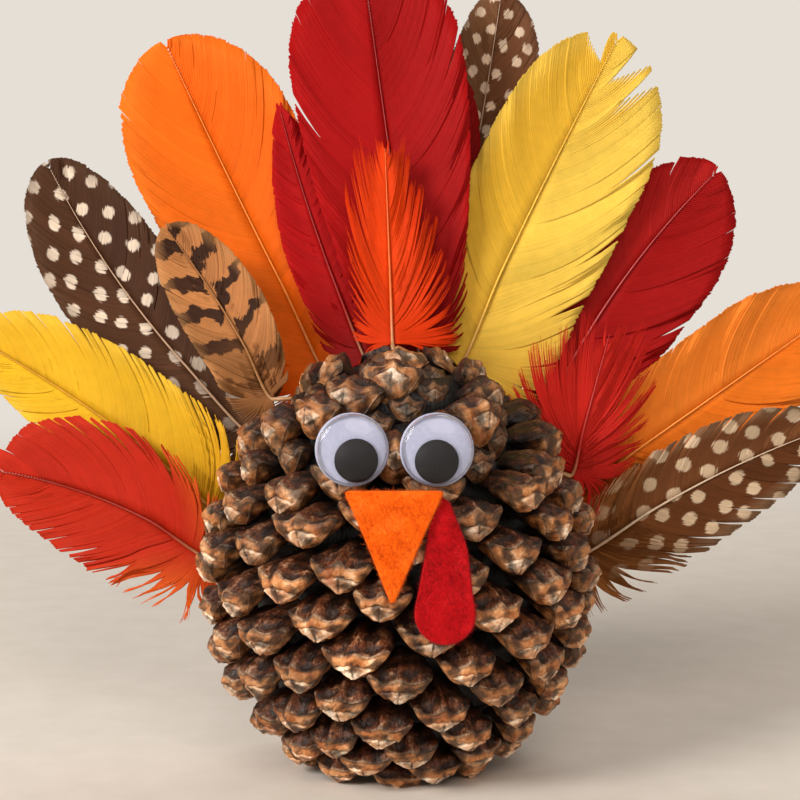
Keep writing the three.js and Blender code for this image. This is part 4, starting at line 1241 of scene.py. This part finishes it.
def evenOutline(corners, count, ease):
    # the outline walked at even steps, its corners eased by averaging over a short run
    c = np.array(corners, float)
    c = np.concatenate([c, c[:1]])
    walk = np.concatenate([[0], np.cumsum(np.linalg.norm(np.diff(c, axis=0), axis=1))])
    k = np.linspace(0, walk[-1], count, endpoint=False)
    line = np.stack([np.interp(k, walk, c[:, 0]), np.interp(k, walk, c[:, 1])], -1)
    return sum(np.roll(line, j, axis=0) for j in range(-ease, ease + 1)) / (2 * ease + 1)


def feltFibres(line, centre, onFelt, rng):
    # short three-sided hairs that lie over the face and stand out round the edge
    t, count = felt["thickness"], felt["fibres"]
    onEdge = rng.random(count) < felt["edgeFibres"]
    spoke = line[rng.integers(0, felt["rim"], count)] - centre
    share = np.where(onEdge, 1.0, np.sqrt(rng.random(count)) * 0.98)
    foot = centre + spoke * share[:, None]
    bearing = np.arctan2(*spoke.T[::-1])
    turn = np.where(onEdge, bearing + rng.normal(0, felt["hairTurn"], count),
                    rng.uniform(0, 2 * np.pi, count))
    reach, rise = (np.where(onEdge, *(rng.uniform(*span, count) for span in felt[key]))
                   for key in ("hairReach", "hairRise"))
    start = np.where(onEdge, rng.uniform(0.2, 1.0, count), t - 0.02)
    k = np.array([0, 0.5, 1.0])[None, :]
    turn = turn[:, None] + rng.normal(0, felt["hairCurl"], count)[:, None] * k
    p = foot[:, None] + reach[:, None, None] * k[..., None] * np.stack([np.cos(turn), np.sin(turn)], -1)
    spine = onFelt(p, start[:, None] + 4 * rise[:, None] * k * (1.1 - k))
    thick = np.array(felt["fibre"])[None, :, None, None] * rng.uniform(0.7, 1.2, count)[:, None, None, None]
    _, u, v, w = feltAxes()
    around = 2 * np.pi * np.arange(3) / 3
    section = np.cos(around)[:, None] * (v * 0.7 + u * 0.7) + np.sin(around)[:, None] * w
    hairs = spine[:, :, None] + thick * section
    return hairs, [copies(gridQuads(3, 3), count, 9), copies(np.array([[2, 1, 0], [6, 7, 8]]), count, 9)]


def feltSheet(name, node, corners, ease, slot, material, rng):
    # rings drawn in from the outline to the middle, front and back,
    # with a rounded edge and a soft uneven face
    origin, u, v, w = feltAxes()
    line = evenOutline(corners, felt["rim"], ease)
    centre = line.mean(0)
    t = felt["thickness"]
    low = float(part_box(node)[0][1]) / mm
    base = (origin[1] + min(q for _, q in corners) * v[1] - low) / -w[1] - t
    onFelt = lambda p, h: origin + p[..., :1] * u + p[..., 1:] * v + (base + h)[..., None] * w
    drawn = np.array(felt["drawn"])[:, None]
    rounded = [t - .02, t - .10, t - .25, t / 2, .25, .10, .02]
    level = np.array([t] * 8 + rounded + [0] * 5)[:, None]  # front, edge, back
    wobble = sineNoise(np.concatenate([line, 0 * line[:, :1]], 1), felt["edgeWaves"], rng) * 0.09
    flat = centre + (line - centre) * (drawn + (drawn > 0.9) * wobble * 0.03)[..., None]
    swell = felt["swell"] * sineNoise(np.concatenate([flat, 0 * flat[..., :1]], -1), felt["swellWaves"], rng)
    ends = onFelt(np.stack([centre, centre]), np.array([t, 0]))
    points = np.concatenate([onFelt(flat, level + swell * (level > t / 2)).reshape(-1, 3), ends])
    sheet = makePiece(name, points, closedGrid(len(drawn), felt["rim"]), material, slot, [node])
    hairs, hairFaces = feltFibres(line, centre, onFelt, rng)
    fuzz = makePiece(name + "Fuzz", hairs, hairFaces, material, slot, [])


def feltMaterial(name, dark, middle, light):
    # pressed wool: mottled fibres, no shine, a soft sheen at grazing angles
    material, add, shader, _ = startMaterial(name)
    place = add("TexCoord").outputs["Object"]
    matted = addNoise(add, place, 1500.0, 5.0, 0.7, 1.2)  # 0.7 mm matting
    broad = addNoise(add, place, 220.0)  # 4.5 mm drifts
    both = calculate(add, "ADD", matted, broad)
    half = calculate(add, "MULTIPLY", both, 0.5)
    tone = add("ValToRGB", [half], stops=[(0.36, dark), (0.5, middle), (0.64, light)])
    relief = add("Bump", {"Height": matted, "Strength": 0.5, "Distance": 0.0004})
    plug(shader, {"Base Color": tone, "Normal": relief, "Roughness": 0.95, "Specular IOR Level": 0.1,
                  "Sheen Weight": 0.06})
    return material


def buildFelt():
    rng = np.random.default_rng(felt["seed"])
    orange = feltMaterial("orangeWoolFelt", "#ea5c06", "#f2640b", "#fb7a22")
    red = feltMaterial("redWoolFelt", "#a4080f", "#b40b13", "#c6181f")
    feltSheet("feltBeak", "beak", beakOutline(), 2, "felt_orange", orange, rng)
    feltSheet("feltWattle", "wattle", wattleOutline(), 6, "felt_red", red, rng)
    print("felt built")


buildFelt()
